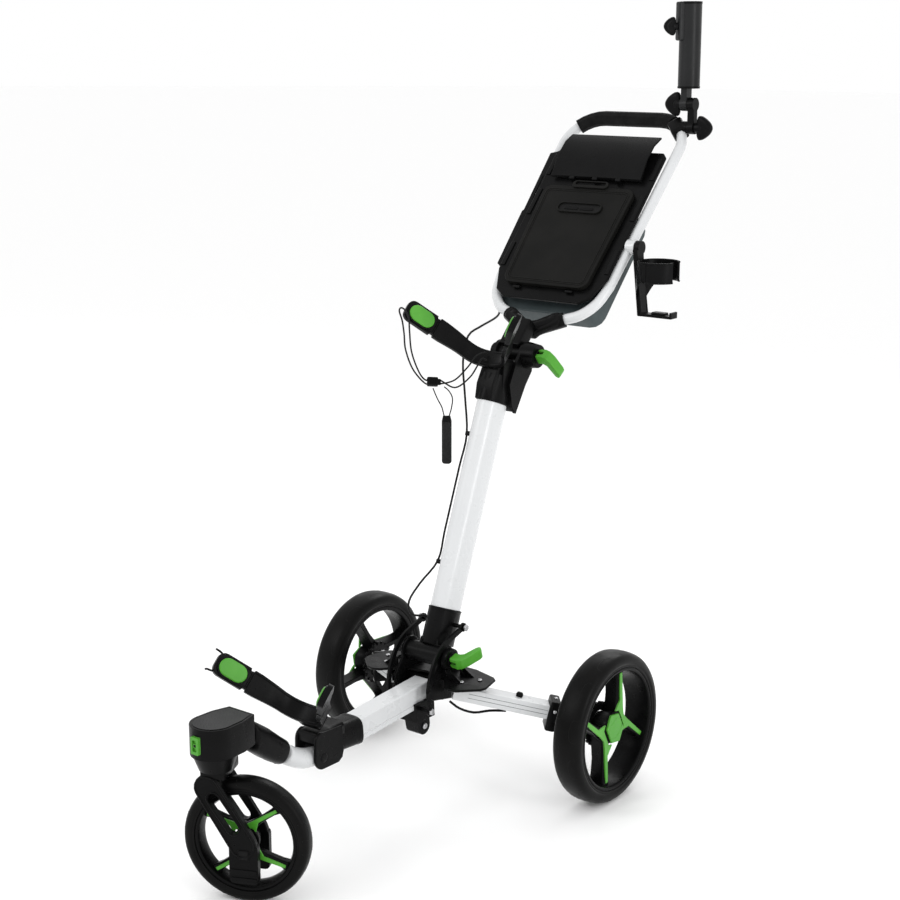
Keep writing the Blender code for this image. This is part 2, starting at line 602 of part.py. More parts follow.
# Front arm and caster
def front_arm():
    """The folding front arm: a curved tube, its sleeve and the caster's head."""
    line = [(0, -0.492, 0.176), (0, -0.520, 0.181), (0, -0.548, 0.193), (0, -0.573, 0.209)]
    points = smooth_line(line, 3)
    tube = as_mesh(pipe("front_curved_tube", points, 0.0178, resolution=5))
    cut(tube, rod("bore", 0.0049, -0.05, 0.05, (0, FRONT_HINGE_Y, FRONT_HINGE_Z), sides=16))
    own(tube, WHITE, "front_arm")
    side_view = [(-0.5735, 0.232), (-0.592, 0.199), (-0.640, 0.232), (-0.668, 0.255)]
    side_view += [(-0.668, 0.300), (-0.650, 0.303)]
    sleeve = plate("front_sleeve", side_view, -0.0235, 0.0235, sideways(frame()))
    round_edges(sleeve, 0.006, 2)
    cut(sleeve, as_mesh(pipe("tube_space", points, 0.0183, resolution=5)))
    reach = block("reach", (0.1, 0.03, 0.08), (0, -0.6834, 0.27))
    cut(sleeve, reach)
    own(sleeve, BLACK, "front_arm")
    outline = arc((0, CASTER_Y - 0.002), 0.0400, 180, 360, 14)
    outline += [(0.0385, -0.702), (0.029, -0.6690), (-0.029, -0.6690), (-0.0385, -0.702)]
    head = plate("caster_head", outline, 0.2645, 0.3180)
    round_edges(head, 0.004, 2)
    cut(head, rod("bore", 0.0096, 0.2, 0.2905, (0, CASTER_Y, 0), "Z", sides=16))
    cut(head, block("button_space", (0.0176, 0.024, 0.0306), (0, CASTER_Y - 0.0395, 0.2905)))
    own(head, BLACK, "front_arm")
    button = block(
        "swivel_lock_button", (0.017, 0.015, 0.030), (0, CASTER_Y - 0.0390, 0.2905), rounding=0.002
    )
    own(button, GREEN, "swivel_lock")


def fork():
    crown = rod("fork", 0.028, 0.2370, 0.2635, along="Z", where=SWIVEL, sides=28, end=0.038)
    spigot = rod("spigot", 0.0092, 0.25, 0.285, along="Z", where=SWIVEL, sides=16)
    bridge = block("bridge", (0.0706, 0.044, 0.020), (0, 0.0, 0.2325), CASTER, rounding=0.004)
    pieces = [spigot, bridge]
    for side in (-1, 1):
        low, high = sorted((side * 0.0235, side * 0.0355))
        where = sideways(CASTER)
        outline = capsule((-0.010, 0.207), (CASTER_TRAIL + 0.001, 0.112), 0.0235, 0.0240)
        leg = plate("leg", outline, low, high, where)
        foot = rounded_box(0.0250, 0.036, 0.008)
        foot = [(x + CASTER_TRAIL + 0.003, y + 0.079) for x, y in foot]
        pieces += [round_edges(leg, 0.002, 1), plate("foot", foot, low, high, where)]
    join(crown, *pieces)
    slot = capsule((0.000, 0.190), (0.034, 0.140), 0.0095, 0.0095, 6)
    cut(crown, plate("slot", slot, -0.05, 0.05, sideways(CASTER)))
    axle_at = (0, CASTER_TRAIL, FRONT_RADIUS)
    join(crown, rod("axle", 0.005, -0.034, 0.034, axle_at, where=CASTER, sides=16))
    own(crown, BLACK, "fork")


# Handle, console and what it carries
def loop_line():
    """Half of the handle's loop in the console's frame, from its foot to the grip's middle."""
    depth = -LOOP_DEPTH
    corner = 0.074
    low = [(0.048, -0.0500), (0.066, -0.040), (0.096, -0.026), (0.119, 0.003), (LOOP_LOW, 0.044)]
    high = [(LOOP_HIGH - 0.002, LOOP_LENGTH - 0.100)]
    centre = (LOOP_HIGH - 0.001 - corner, LOOP_LENGTH - corner)
    turn = arc(centre, corner, 5, 90, 7)
    return low, high, turn, depth


def handle_loop():
    low, high, turn, depth = loop_line()
    foot = smooth_line([(x, y, depth) for x, y in low], 3)
    top = [Vector((x, y, depth)) for x, y in high + turn]
    half = foot + top
    whole = half + [Vector((-p.x, p.y, p.z)) for p in reversed(half)]
    loop = as_mesh(pipe("handle_loop", whole, LOOP_RADIUS, CONSOLE, 3))
    grip_line = [p for p in whole if p.y > LOOP_LENGTH - 0.036 and p.x < 0.090]
    grip = as_mesh(pipe("grip", grip_line, 0.0155, CONSOLE, 3))
    cut(grip, as_mesh(pipe("loop_space", whole, LOOP_RADIUS + GAP, CONSOLE, 3)))
    own(grip, FOAM, "handle")
    own(loop, WHITE, "handle")


def yoke():
    """The casting that joins the loop's two feet to the upper pivot."""
    hub_at = frame(0, UPPER_Y, UPPER_Z)
    piece = rod("handle_yoke", 0.0170, -0.0262, 0.0262, where=hub_at, sides=24)
    bridge = block("bridge", (0.046, 0.062, 0.030), (0, -0.104, 0.006), CONSOLE, rounding=0.004)
    sockets = []
    for side in (-1, 1):
        inner = Vector((side * 0.012, -0.0730, -LOOP_DEPTH + 0.006))
        outer = Vector((side * 0.0655, -0.0405, -LOOP_DEPTH))
        heading = (outer - inner).normalized()
        outer -= heading * 0.0006
        sockets.append(as_mesh(pipe("socket", [inner, outer], 0.0150, CONSOLE, 4)))
    join(piece, bridge, *sockets)
    low, _, _, depth = loop_line()
    foot = [(0.0470, -0.0506), *low[:3]]
    for side in (-1, 1):
        line = [(side * x, y, depth) for x, y in foot]
        cut(piece, as_mesh(pipe("foot_space", line, LOOP_RADIUS + 0.0006, CONSOLE, 3)))
    cut(piece, rod("bore", 0.0054, -0.1, 0.1, where=hub_at, sides=16))
    own(piece, BLACK, "handle")


def console():
    """The tray across the loop, the bin below it, the lid over it and the card flap above."""
    outline = [(0.088, -0.012), (0.112, 0.004), (0.130, 0.052), (0.131, 0.352), (0.122, 0.362)]
    outline = outline + [(-x, y) for x, y in reversed(outline)]
    window = [(x, y + 0.136) for x, y in rounded_box(0.082, 0.096, 0.014)]
    tray = plate("console_tray", outline, -0.0110, -0.0040, CONSOLE, [window])
    own(round_edges(tray, 0.0015, 1), BLACK, "handle")
    box = CONSOLE @ frame(0, 0.136, 0)
    wall = 0.003
    tub = plate("storage_bin", rounded_box(0.092, 0.106, 0.020), -0.074, -0.0113, box)
    belly_at = CONSOLE @ frame(0, 0.1050, 0)
    belly = plate("belly", rounded_box(0.117, 0.127, 0.026), -0.074, -0.0345, belly_at)
    join(tub, round_edges(belly, 0.008, 2, 60))
    hollow = plate("hollow", rounded_box(0.082, 0.096, 0.014), -0.074 + wall, 0.0, box)
    cut(tub, hollow)
    own(tub, SLATE, "handle")
    shape = arc((0.079, 0.036), 0.020, -90, -10, 4) + arc((0.089, 0.241), 0.018, 5, 90, 4)
    shape = shape + [(-x, y) for x, y in reversed(shape)]
    cover = plate("console_lid", shape, -0.0037, 0.0070, CONSOLE)
    own(round_edges(cover, 0.003, 2), BLACK, "console_lid")
    section = [(0.282, 0.002), (0.284, 0.0075), (0.330, 0.0165), (0.366, 0.0150), (0.394, 0.004)]
    section += [(0.393, 0.0005), (0.364, 0.0112), (0.330, 0.0125), (0.290, 0.0020)]
    across = CONSOLE @ Matrix(((0, 0, 1, 0), (1, 0, 0, 0), (0, 1, 0, 0), (0, 0, 0, 1)))
    flap = plate("card_flap", section, -0.107, 0.107, across)
    own(flap, BLACK, "card_flap")


def cup_holder():
    """An open ring for a bottle, on a leg with a foot, hung from a bolt on the loop."""
    where = frame(0.2020, 0.2940, -0.0100)
    ring = arc((0, 0), 0.0412, 38, 343, 30) + arc((0, 0), 0.0375, 343, 38, 30)
    holder = plate("cup_holder", ring, 0.9560, 0.9930, where)
    upright = Matrix(((1, 0, 0, 0), (0, 0, -1, 0), (0, 1, 0, 0), (0, 0, 0, 1)))
    leg = [(0.1520, 1.0050), (0.1628, 1.0050), (0.1660, 0.9600), (0.1760, 0.8760), (0.1660, 0.8760)]
    leg = round_edges(plate("leg", leg, -0.303, -0.277, upright), 0.0015, 1)
    foot = block("foot", (0.074, 0.024, 0.006), (0.2050, 0.290, 0.8790), rounding=0.0015)
    lip = block("lip", (0.005, 0.024, 0.013), (0.2400, 0.290, 0.8825), rounding=0.0015)
    eye = rod("eye", 0.0135, 0.1515, 0.1628, (0, 0.2955, 1.0070), sides=24)
    join(holder, leg, foot, lip, eye)
    own(holder, BLACK, "cup_holder")


def clamps():
    """The bottle holder's boss on the loop's side and the umbrella clamp on its corner."""
    boss = rod("cup_boss", 0.0145, 0.1318, 0.1510, (0, 0.2955, 1.0070), sides=24)
    tube = handle_space()
    own(cut(boss, tube), WHITE, "handle")


def handle_space(side=1):
    """The room that one side of the loop takes up, for what is clamped on it."""
    low, high, turn, depth = loop_line()
    line = [Vector((side * x, y, depth)) for x, y in [low[-1]] + high + turn]
    return as_mesh(pipe("space", line, LOOP_RADIUS + GAP, CONSOLE, 3))


JOINT_LOW = Vector((0.150, 0.498, 1.228))
JOINT_HIGH = Vector((0.140, 0.498, 1.274))
UMBRELLA_TOP = 1.4740


def umbrella_holder():
    """Clamp, two-way knuckle and the tube for an umbrella's shaft, with three wing knobs."""
    at_corner = (0.1165, LOOP_LENGTH - 0.0225, -LOOP_DEPTH)
    clamp = block("umbrella_clamp", (0.031, 0.035, 0.034), at_corner, CONSOLE, (0, 0, 0.7), 0.005)
    ear = rod("ear", 0.0130, 0.1180, 0.1409, (0, JOINT_LOW.y, JOINT_LOW.z), sides=20)
    join(clamp, ear)
    space = handle_space()
    cut(clamp, space)
    own(clamp, BLACK, "handle")
    knuckle = rod(
        "umbrella_knuckle", 0.0130, 0.1413, 0.1560, (0, JOINT_LOW.y, JOINT_LOW.z), sides=20
    )
    neck = block("neck", (0.0140, 0.020, 0.044), (0.1486, JOINT_LOW.y, 1.2510), rounding=0.003)
    disc = rod("disc", 0.0135, 0.1409, 0.1560, (0, JOINT_HIGH.y, JOINT_HIGH.z), sides=20)
    join(knuckle, neck, disc)
    own(knuckle, BLACK, "umbrella_knuckle")
    tube_at = (JOINT_HIGH.x - 0.004, JOINT_HIGH.y + 0.004, 0)
    tube = rod("umbrella_tube", 0.0220, 1.3050, UMBRELLA_TOP, tube_at, "Z", sides=28)
    rib_turn = radians(-120)
    rib_at = (tube_at[0] + 0.0195 * cos(rib_turn), tube_at[1] + 0.0195 * sin(rib_turn), 1.4360)
    rib = block("rib", (0.022, 0.018, 0.076), rib_at, turn=(0, 0, rib_turn), rounding=0.004)
    hinge = rod("hinge", 0.0135, 0.1250, 0.1406, (0, JOINT_HIGH.y, JOINT_HIGH.z), sides=20)
    stem = block("stem", (0.0136, 0.0200, 0.036), (0.1332, JOINT_HIGH.y, 1.2900))
    join(tube, rib, hinge, stem)
    cut(tube, rod("bore", 0.0190, 1.3110, 1.6, tube_at, "Z", sides=28))
    own(tube, BLACK, "umbrella_tube")
    wing = [(-0.023, 0.002), (-0.019, -0.009), (0.019, -0.009), (0.023, 0.002), (0.014, 0.019)]
    wing += [(0.0, 0.025), (-0.014, 0.019)]

    def knob(name, at, axes, body_name, scale=1.0):
        spot = Matrix.Translation(at) @ axes @ Matrix.Scale(scale, 4)
        piece = plate(name, wing, -0.0055, 0.0055, spot)
        stem = rod("stem", 0.0095, -0.0125, 0.004, along="Y", where=spot, sides=16)
        own(join(round_edges(piece, 0.002, 2), stem), BLACK, body_name)

    toward_left = Matrix.Rotation(-pi / 2, 4, "Z") @ Matrix.Rotation(pi / 2, 4, "Y")
    toward_right = Matrix.Rotation(pi / 2, 4, "Z") @ Matrix.Rotation(pi / 2, 4, "Y")
    toward_rib = Matrix.Rotation(rib_turn - pi / 2, 4, "Z") @ Matrix.Rotation(pi / 2, 4, "Y")
    at = (0.1690, JOINT_LOW.y, JOINT_LOW.z)
    knob("umbrella_knob_low", at, toward_left, "umbrella_knob_low")
    at = (0.1120, JOINT_HIGH.y, JOINT_HIGH.z)
    knob("umbrella_knob_mid", at, toward_right, "umbrella_knob_mid")
    reach = 0.0308 + 0.0097
    at = (tube_at[0] + reach * cos(rib_turn), tube_at[1] + reach * sin(rib_turn), 1.4260)
    knob("umbrella_knob_top", at, toward_rib, "umbrella_knob_top", 0.75)


BRAKE_AT = Vector((-0.135, 0.235, -0.0535))  # the brake lever's pivot, in the console's frame


def brake():
    """The parking brake's lever under the loop's right side, and its cable to the hub."""
    cradle_at = (BRAKE_AT.x, BRAKE_AT.y, -0.0330)
    mount = block("brake_mount", (0.026, 0.030, 0.030), cradle_at, CONSOLE, rounding=0.002)
    for side in (-1, 1):
        cheek = (BRAKE_AT.x + side * 0.0100, BRAKE_AT.y, -0.0500)
        join(mount, block("cheek", (0.0030, 0.014, 0.016), cheek, CONSOLE))
    join(mount, rod("pin", 0.0025, -0.0100, 0.0100, BRAKE_AT, where=CONSOLE, sides=16))
    own(cut(mount, handle_space(-1)), BLACK, "handle")
    lever_at = BRAKE_AT + Vector((0, 0.027, 0))
    lever = block("brake_lever", (0.0130, 0.064, 0.007), lever_at, CONSOLE, rounding=0.002)
    cut(lever, rod("bore", 0.0029, -0.02, 0.02, BRAKE_AT, where=CONSOLE, sides=16))
    own(lever, BLACK, "brake_lever")
    upper, lower = brake_cable_routes()
    own(pipe("brake_cable_top", smooth_line(upper, 4), CABLE_RADIUS, resolution=2), CORD, "handle")
    own(pipe("brake_cable", smooth_line(lower, 4), CABLE_RADIUS, resolution=2), CORD, "main")


CABLE_RADIUS = 0.0022
CABLE_SPLIT = Vector((-0.090, 0.118, 0.853))  # beside the upper pivot, where the two cables meet


def brake_cable_routes():
    """From the lever down the far side of the loop, past the pivot, and along the main tube."""
    upper = [(-0.135, 0.2195, -0.0440), (-0.135, 0.200, -0.0450), (-0.134, 0.150, -0.0420)]
    upper += [(-0.132, 0.100, -0.0400), (-0.128, 0.050, -0.0430), (-0.123, 0.012, -0.0470)]
    upper += [(-0.114, -0.016, -0.0450)]
    upper = [CONSOLE @ Vector(point) for point in upper]
    upper += [Vector((-0.100, 0.186, 0.866)), Vector((-0.091, 0.158, 0.861)), CABLE_SPLIT]
    lower = [CABLE_SPLIT - Vector((0, 0.0003, 0.0001)), Vector((-0.090, 0.071, 0.838))]
    lower += [Vector((-0.072, 0.031, 0.795)), Vector((-0.045, 0.002, 0.735))]
    for z in (0.668, 0.610, 0.550, 0.490, 0.438):
        axis_y = FOLD_Y + MAIN_OFFSET / cos(MAIN_LEAN) + (z - FOLD_Z) * tan(MAIN_LEAN)
        lower.append(Vector((-0.0230, axis_y - 0.0280, z)))
    lower += [Vector((-0.0400, -0.1440, 0.398)), Vector((-0.0415, -0.1760, 0.370))]
    lower += [Vector((-0.0405, -0.1700, 0.343)), Vector((-0.0290, -0.1390, 0.334))]
    return upper, lower


CORD_RADIUS = 0.0016
LOCK_CHANNEL = 0.0038  # from the middle of the cord lock to each of its two channels
UPPER_BRACKET = frame(0, 0.0270, 0.8075, turn_x=radians(135))
LOCK_AT = Vector((-0.080, 0.0292, 0.0854))  # in the upper bracket's frame, as is the whole cord
LOCK_ALONG = Vector((-0.70, 0.55, 0.46)).normalized()
LOCK_ACROSS = Vector((0.55, 0.83, 0.0)).cross(LOCK_ALONG).normalized()


def bag_cord_route():
    """From the bracket's root through the lock, over the strap's far tip, and all the way back."""
    entry, leave = LOCK_AT - LOCK_ALONG * 0.0145, LOCK_AT + LOCK_ALONG * 0.0145
    beside = LOCK_ACROSS * LOCK_CHANNEL
    route = [(-0.010, 0.0066, -0.006), (-0.013, 0.0150, -0.004), (-0.022, 0.0200, 0.010)]
    route += [(-0.032, 0.0150, 0.034), (-0.048, 0.0120, 0.064)]
    route += [entry + beside, LOCK_AT + beside, leave + beside]
    route += [(-0.104, 0.068, 0.088), (-0.117, 0.098, 0.066), (-0.1235, 0.117, 0.042)]
    route += [(-0.1325, 0.129, 0.022), (-0.1370, 0.1440, 0.011), (-0.1290, 0.1520, 0.0085)]
    route += [(-0.1200, 0.1480, 0.0110), (-0.1130, 0.1370, 0.0200), (-0.1130, 0.1180, 0.0360)]
    route += [(-0.109, 0.090, 0.063), (-0.098, 0.060, 0.084)]
    route += [leave - beside, LOCK_AT - beside, entry - beside]
    route += [(-0.050, -0.002, 0.072), (-0.028, 0.000, 0.046), (-0.016, 0.0100, 0.020)]
    route += [(-0.010, 0.0150, 0.010), (-0.006, 0.0066, 0.006)]
    return [UPPER_BRACKET @ Vector(point) for point in route]


def bag_cord():
    """The elastic cord slung over the far tip, the lock that gathers it, and the woven tag."""
    points = smooth_line(bag_cord_route(), 3)
    own(pipe("bag_cord", points, CORD_RADIUS, resolution=2), CORD, "main")
    axes = Matrix((LOCK_ALONG, LOCK_ACROSS, LOCK_ALONG.cross(LOCK_ACROSS))).transposed().to_4x4()
    where = UPPER_BRACKET @ Matrix.Translation(LOCK_AT) @ axes
    lock = block("cord_lock", (0.021, 0.0170, 0.0110), (0, 0, 0), where, rounding=0.002)
    for side in (-1, 1):
        cut(lock, rod("channel", 0.0035, -0.02, 0.02, (0, side * LOCK_CHANNEL, 0), where=where, sides=16))
    own(lock, BLACK, "main")
    loop = smooth_line(tag_loop(), 3)
    middle = TAG_AT - Vector((0, 0, TAG_LENGTH / 2))
    size = (TAG_WIDTH, 0.0030, TAG_LENGTH)
    tag = block("name_tag", size, middle, turn=(0, 0, TAG_TURN), rounding=0.0008)
    join(tag, as_mesh(pipe("loop", loop, 0.0012, resolution=2)))
    own(tag, WEBBING, "main")


TAG_AT = Vector((-0.0615, -0.0340, 0.7010))  # the middle of the tag's upper edge
TAG_WIDTH, TAG_LENGTH = 0.0190, 0.0950
TAG_TURN = radians(38)


def tag_loop():
    """From under the cord lock down through the tag's head and back up to the cord."""
    across = Vector((cos(TAG_TURN), sin(TAG_TURN), 0))
    up = Vector((0, 0, 1))
    foot = [TAG_AT + across * x + up * (z + 0.0022) for x, z in arc((0, 0), 0.0056, 180, 360, 4)]
    near = [Vector((-0.0790, -0.0540, 0.7553)), Vector((-0.0740, -0.0478, 0.7360))]
    near.append(Vector((-0.0684, -0.0405, 0.7180)))
    far = [Vector((-0.0545, -0.0275, 0.7180)), Vector((-0.0535, -0.0265, 0.7350))]
    far += [Vector((-0.0575, -0.0320, 0.7490)), Vector((-0.0632, -0.0395, 0.7578))]
    return near + foot + far


def build():
    trolley = bpy.data.objects.new("trolley", None)
    PARTS.objects.link(trolley)
    body("base", 0, 0, 0)
    hang(BODIES["base"], trolley)
    body("main", 0, FOLD_Y, FOLD_Z, "base")
    body("link_slider", 0, LINK_LOW.x, LINK_LOW.y, "base")
    body("fold_links", 0, LINK_LOW.x, LINK_LOW.y, "link_slider")
    body("lower_lever", LEVER_X, FOLD_Y, FOLD_Z, "base")
    body("upper_lever", LEVER_X, UPPER_Y, UPPER_Z, "main")
    body("front_arm", 0, FRONT_HINGE_Y, FRONT_HINGE_Z, "base")
    body("swivel_lock", 0, CASTER_Y - 0.0390, 0.2905, "front_arm")
    body("fork", 0, CASTER_Y, 0.25, "front_arm")
    wheel_centre = CASTER @ Vector((0, CASTER_TRAIL, FRONT_RADIUS))
    body("front_wheel", *wheel_centre, "fork")
    body("handle", 0, UPPER_Y, UPPER_Z, "main")
    lid_at = CONSOLE @ Vector((0, 0.015, -0.003))
    flap_at = CONSOLE @ Vector((0, 0.392, 0.002))
    body("console_lid", *lid_at, "handle")
    body("card_flap", *flap_at, "handle")
    body("cup_holder", 0.152, 0.2955, 1.0070, "handle")
    body("umbrella_knuckle", *JOINT_LOW, "handle")
    body("umbrella_tube", *JOINT_HIGH, "umbrella_knuckle")
    body("umbrella_knob_low", *JOINT_LOW, "umbrella_knuckle")
    body("umbrella_knob_mid", *JOINT_HIGH, "umbrella_tube")
    body("umbrella_knob_top", JOINT_HIGH.x, JOINT_HIGH.y, 1.4260, "umbrella_tube")
    body("brake_lever", *(CONSOLE @ BRAKE_AT), "handle")

    tube_frame = front_tube()
    hub()
    wing_plate()
    front_block(tube_frame)
    lower = frame(0, -0.5005, 0.2550, turn_x=radians(135))
    cradle("lower", lower, (0.046, 0.020, 0.030), (0, -0.0085, 0.002), "base")
    main_tube()
    cradle("upper", UPPER_BRACKET, (0.042, 0.014, 0.030), (0, -0.0055, 0.0), "main")
    folding_links()
    out = Vector((1, 0, 0))
    heading = Vector((0, 0.96, 0.28))
    cam_lever("lower_cam_lever", (LEVER_X, FOLD_Y, FOLD_Z), out, heading, "lower_lever")
    heading = Vector((0, 0.60, -0.80))
    root = (LEVER_X - 0.0025, UPPER_Y, UPPER_Z)
    cam_lever("upper_cam_lever", root, out, heading, "upper_lever")
    for side, label in ((1, "left"), (-1, "right")):
        rear_arm(side, label)
        rear_wheel(side, label)
    front_arm()
    fork()
    front_wheel()
    handle_loop()
    yoke()
    console()
    clamps()
    cup_holder()
    umbrella_holder()
    brake()
    bag_cord()
    trolley.location.y = -BOX_CENTRE_Y
    bpy.context.view_layer.update()


build()
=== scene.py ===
"""Looks of the golf push trolley: finishes, fine shapes, cords and studio.

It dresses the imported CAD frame, in that frame's own metres: +X is the trolley's left, -Y the
way it is pushed, +Z up.
"""

import json
from math import atan2, cos, pi, radians, sin

import bmesh
import bpy
from mathutils import Euler, Matrix, Vector


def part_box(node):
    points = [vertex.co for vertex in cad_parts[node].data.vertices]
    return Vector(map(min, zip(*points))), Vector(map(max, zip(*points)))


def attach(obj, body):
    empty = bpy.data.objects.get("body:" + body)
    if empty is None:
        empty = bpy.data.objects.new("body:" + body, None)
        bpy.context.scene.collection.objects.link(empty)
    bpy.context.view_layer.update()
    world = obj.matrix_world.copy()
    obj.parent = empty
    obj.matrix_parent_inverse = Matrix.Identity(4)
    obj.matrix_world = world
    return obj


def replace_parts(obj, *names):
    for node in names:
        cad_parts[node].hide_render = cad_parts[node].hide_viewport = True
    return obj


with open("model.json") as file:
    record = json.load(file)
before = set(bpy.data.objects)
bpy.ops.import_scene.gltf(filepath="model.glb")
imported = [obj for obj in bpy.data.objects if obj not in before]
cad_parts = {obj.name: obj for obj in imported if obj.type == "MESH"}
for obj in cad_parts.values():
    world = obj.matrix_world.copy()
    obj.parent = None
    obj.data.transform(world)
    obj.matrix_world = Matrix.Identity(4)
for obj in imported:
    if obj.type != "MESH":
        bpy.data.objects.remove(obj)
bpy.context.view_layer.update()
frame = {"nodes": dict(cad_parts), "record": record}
NODES = frame["nodes"]

# The CAD's driving dimensions, repeated for the shapes built on it
AXLE_Y = 0.1244  # the rear axle line in this frame
CONSOLE_Y, CONSOLE_Z, CONSOLE_TILT = 0.187, 0.917, radians(47.3)
CASTER_Y, CASTER_SIDE, CASTER_TRAIL, CASTER_SWIVEL = -0.733, -0.017, 0.047, radians(-65)
FOLD_Y, FOLD_Z, MAIN_LEAN, MAIN_OFFSET = -0.174, 0.275, radians(21.3), 0.0257
UPPER_Y, UPPER_Z = 0.098, 0.810
SPOKE_HALF_ANGLE = radians(51)
CORD_RADIUS, STRING_RADIUS = 0.0016, 0.0012
# A wheel's radius, the radius of its rim's opening, and its width
REAR_WHEEL = (0.145, 0.1137, 0.059)
FRONT_WHEEL = (0.1096, 0.0848, 0.036)
TREAD_PADS = 12
SPOKE_FACE = 0.28  # how far out the spokes' faces stand, as a share of the wheel's width
LID_FACE = 0.0070
LEG_FACE = 0.0357  # of the fork's legs, from the fork's middle plane


def place(x=0.0, y=0.0, z=0.0, turn_x=0.0, turn_y=0.0, turn_z=0.0):
    return Matrix.Translation((x, y, z)) @ Euler((turn_x, turn_y, turn_z)).to_matrix().to_4x4()


AXLE = place(0, AXLE_Y, 0)  # on the floor under the rear axle's middle, where the CAD starts
MAIN = AXLE @ place(0, FOLD_Y, FOLD_Z, turn_x=-MAIN_LEAN)
CONSOLE = AXLE @ place(0, CONSOLE_Y, CONSOLE_Z, turn_x=CONSOLE_TILT)
CASTER = AXLE @ place(0, CASTER_Y, 0, turn_z=CASTER_SWIVEL) @ place(CASTER_SIDE)
UPPER_BRACKET = AXLE @ place(0, 0.0270, 0.8075, turn_x=radians(135))
LOWER_BRACKET = AXLE @ place(0, -0.5005, 0.2550, turn_x=radians(135))
ALONG = {"X": (0, pi / 2, 0), "Y": (-pi / 2, 0, 0), "Z": (0, 0, 0)}


def sideways(where):
    """A frame whose local XY is the trolley's YZ plane and whose local Z is its X."""
    return where @ Matrix(((0, 0, 1, 0), (1, 0, 0, 0), (0, 1, 0, 0), (0, 0, 0, 1)))


def outward(where, side):
    """The frame itself on the left side (side 1), and turned half round on the right."""
    return where if side > 0 else where @ Matrix.Rotation(pi, 4, "Z")


# Camera
def camera():
    data = bpy.data.cameras.new("camera")
    data.lens = 69.5
    data.sensor_width = 36
    data.clip_end = 50
    eye = bpy.data.objects.new("camera", data)
    bpy.context.scene.collection.objects.link(eye)
    eye.location = (1.929, -2.600 + AXLE_Y, 1.407)
    eye.rotation_euler = (radians(90 - 13.40), 0, radians(37.69))
    bpy.context.scene.camera = eye


camera()


# Materials
def shader_of(name, colour, roughness, metallic=0.0, coat=0.0, sheen=0.0, specular=0.5):
    material = bpy.data.materials.new(name)
    material.use_nodes = True
    shader = material.node_tree.nodes["Principled BSDF"]
    shader.inputs["Base Color"].default_value = (*colour, 1)
    shader.inputs["Roughness"].default_value = roughness
    shader.inputs["Metallic"].default_value = metallic
    shader.inputs["Coat Weight"].default_value = coat
    shader.inputs["Coat Roughness"].default_value = 0.1
    shader.inputs["Specular IOR Level"].default_value = specular
    shader.inputs["Sheen Weight"].default_value = sheen
    return material, shader


def node(material, kind, **values):
    found = material.node_tree.nodes.new(kind)
    for name, value in values.items():
        if name in found.inputs:
            found.inputs[name].default_value = value
        else:
            setattr(found, name, value)
    return found


def texture(material, kind, **values):
    """A texture in the object's own metres, so that its grain has a real size."""
    space = node(material, "ShaderNodeTexCoord")
    found = node(material, kind, **values)
    material.node_tree.links.new(space.outputs["Object"], found.inputs["Vector"])
    return found


def noise(material, scale, detail=3.0):
    return texture(material, "ShaderNodeTexNoise", Scale=scale, Detail=detail)


def cells(material, scale):
    return texture(material, "ShaderNodeTexVoronoi", Scale=scale).outputs["Distance"]


def crossed_ribs(material, *bands):
    """Two sets of ribs multiplied together, each given as its direction and scale."""
    product = node(material, "ShaderNodeMath", operation="MULTIPLY")
    for socket, (direction, scale) in zip(product.inputs, bands):
        wave = texture(material, "ShaderNodeTexWave", bands_direction=direction, Scale=scale)
        material.node_tree.links.new(wave.outputs["Fac"], socket)
    return product.outputs["Value"]


def vary_roughness(material, shader, low, high, scale):
    grain = noise(material, scale)
    spread = node(material, "ShaderNodeMapRange")
    spread.inputs["From Min"].default_value = 0.3
    spread.inputs["From Max"].default_value = 0.7
    spread.inputs["To Min"].default_value = low
    spread.inputs["To Max"].default_value = high
    links = material.node_tree.links
    links.new(grain.outputs["Fac"], spread.inputs["Value"])
    links.new(spread.outputs["Result"], shader.inputs["Roughness"])


def vary_colour(material, shader, dark, light, scale):
    """Slow changes of shade over the surface."""
    grain = noise(material, scale)
    ramp = node(material, "ShaderNodeValToRGB")
    ramp.color_ramp.elements[0].position = 0.35
    ramp.color_ramp.elements[1].position = 0.68
    ramp.color_ramp.elements[0].color = (*dark, 1)
    ramp.color_ramp.elements[1].color = (*light, 1)
    links = material.node_tree.links
    links.new(grain.outputs["Fac"], ramp.inputs["Fac"])
    links.new(ramp.outputs["Color"], shader.inputs["Base Color"])
    return ramp


def worn_edges(material, shader, source, tone, amount):
    """A paler, worn tone along the edges, over the colour that comes from source."""
    bend = node(material, "ShaderNodeNewGeometry")
    edge = node(material, "ShaderNodeMapRange")
    edge.inputs["From Min"].default_value = 0.52
    edge.inputs["From Max"].default_value = 0.62
    edge.inputs["To Max"].default_value = amount
    mix = node(material, "ShaderNodeMix", data_type="RGBA")
    mix.inputs["B"].default_value = (*tone, 1)
    mixed = [socket for socket in mix.inputs if socket.type == "RGBA"]
    mixed[1].default_value = (*tone, 1)
    links = material.node_tree.links
    links.new(bend.outputs["Pointiness"], edge.inputs["Value"])
    links.new(edge.outputs["Result"], mix.inputs["Factor"])
    links.new(source, mixed[0])
    out = [socket for socket in mix.outputs if socket.type == "RGBA"][0]
    links.new(out, shader.inputs["Base Color"])


def bump(material, shader, height, distance, strength=1.0):
    relief = node(material, "ShaderNodeBump", Strength=strength, Distance=distance)
    links = material.node_tree.links
    links.new(height, relief.inputs["Height"])
    links.new(relief.outputs["Normal"], shader.inputs["Normal"])
    return relief


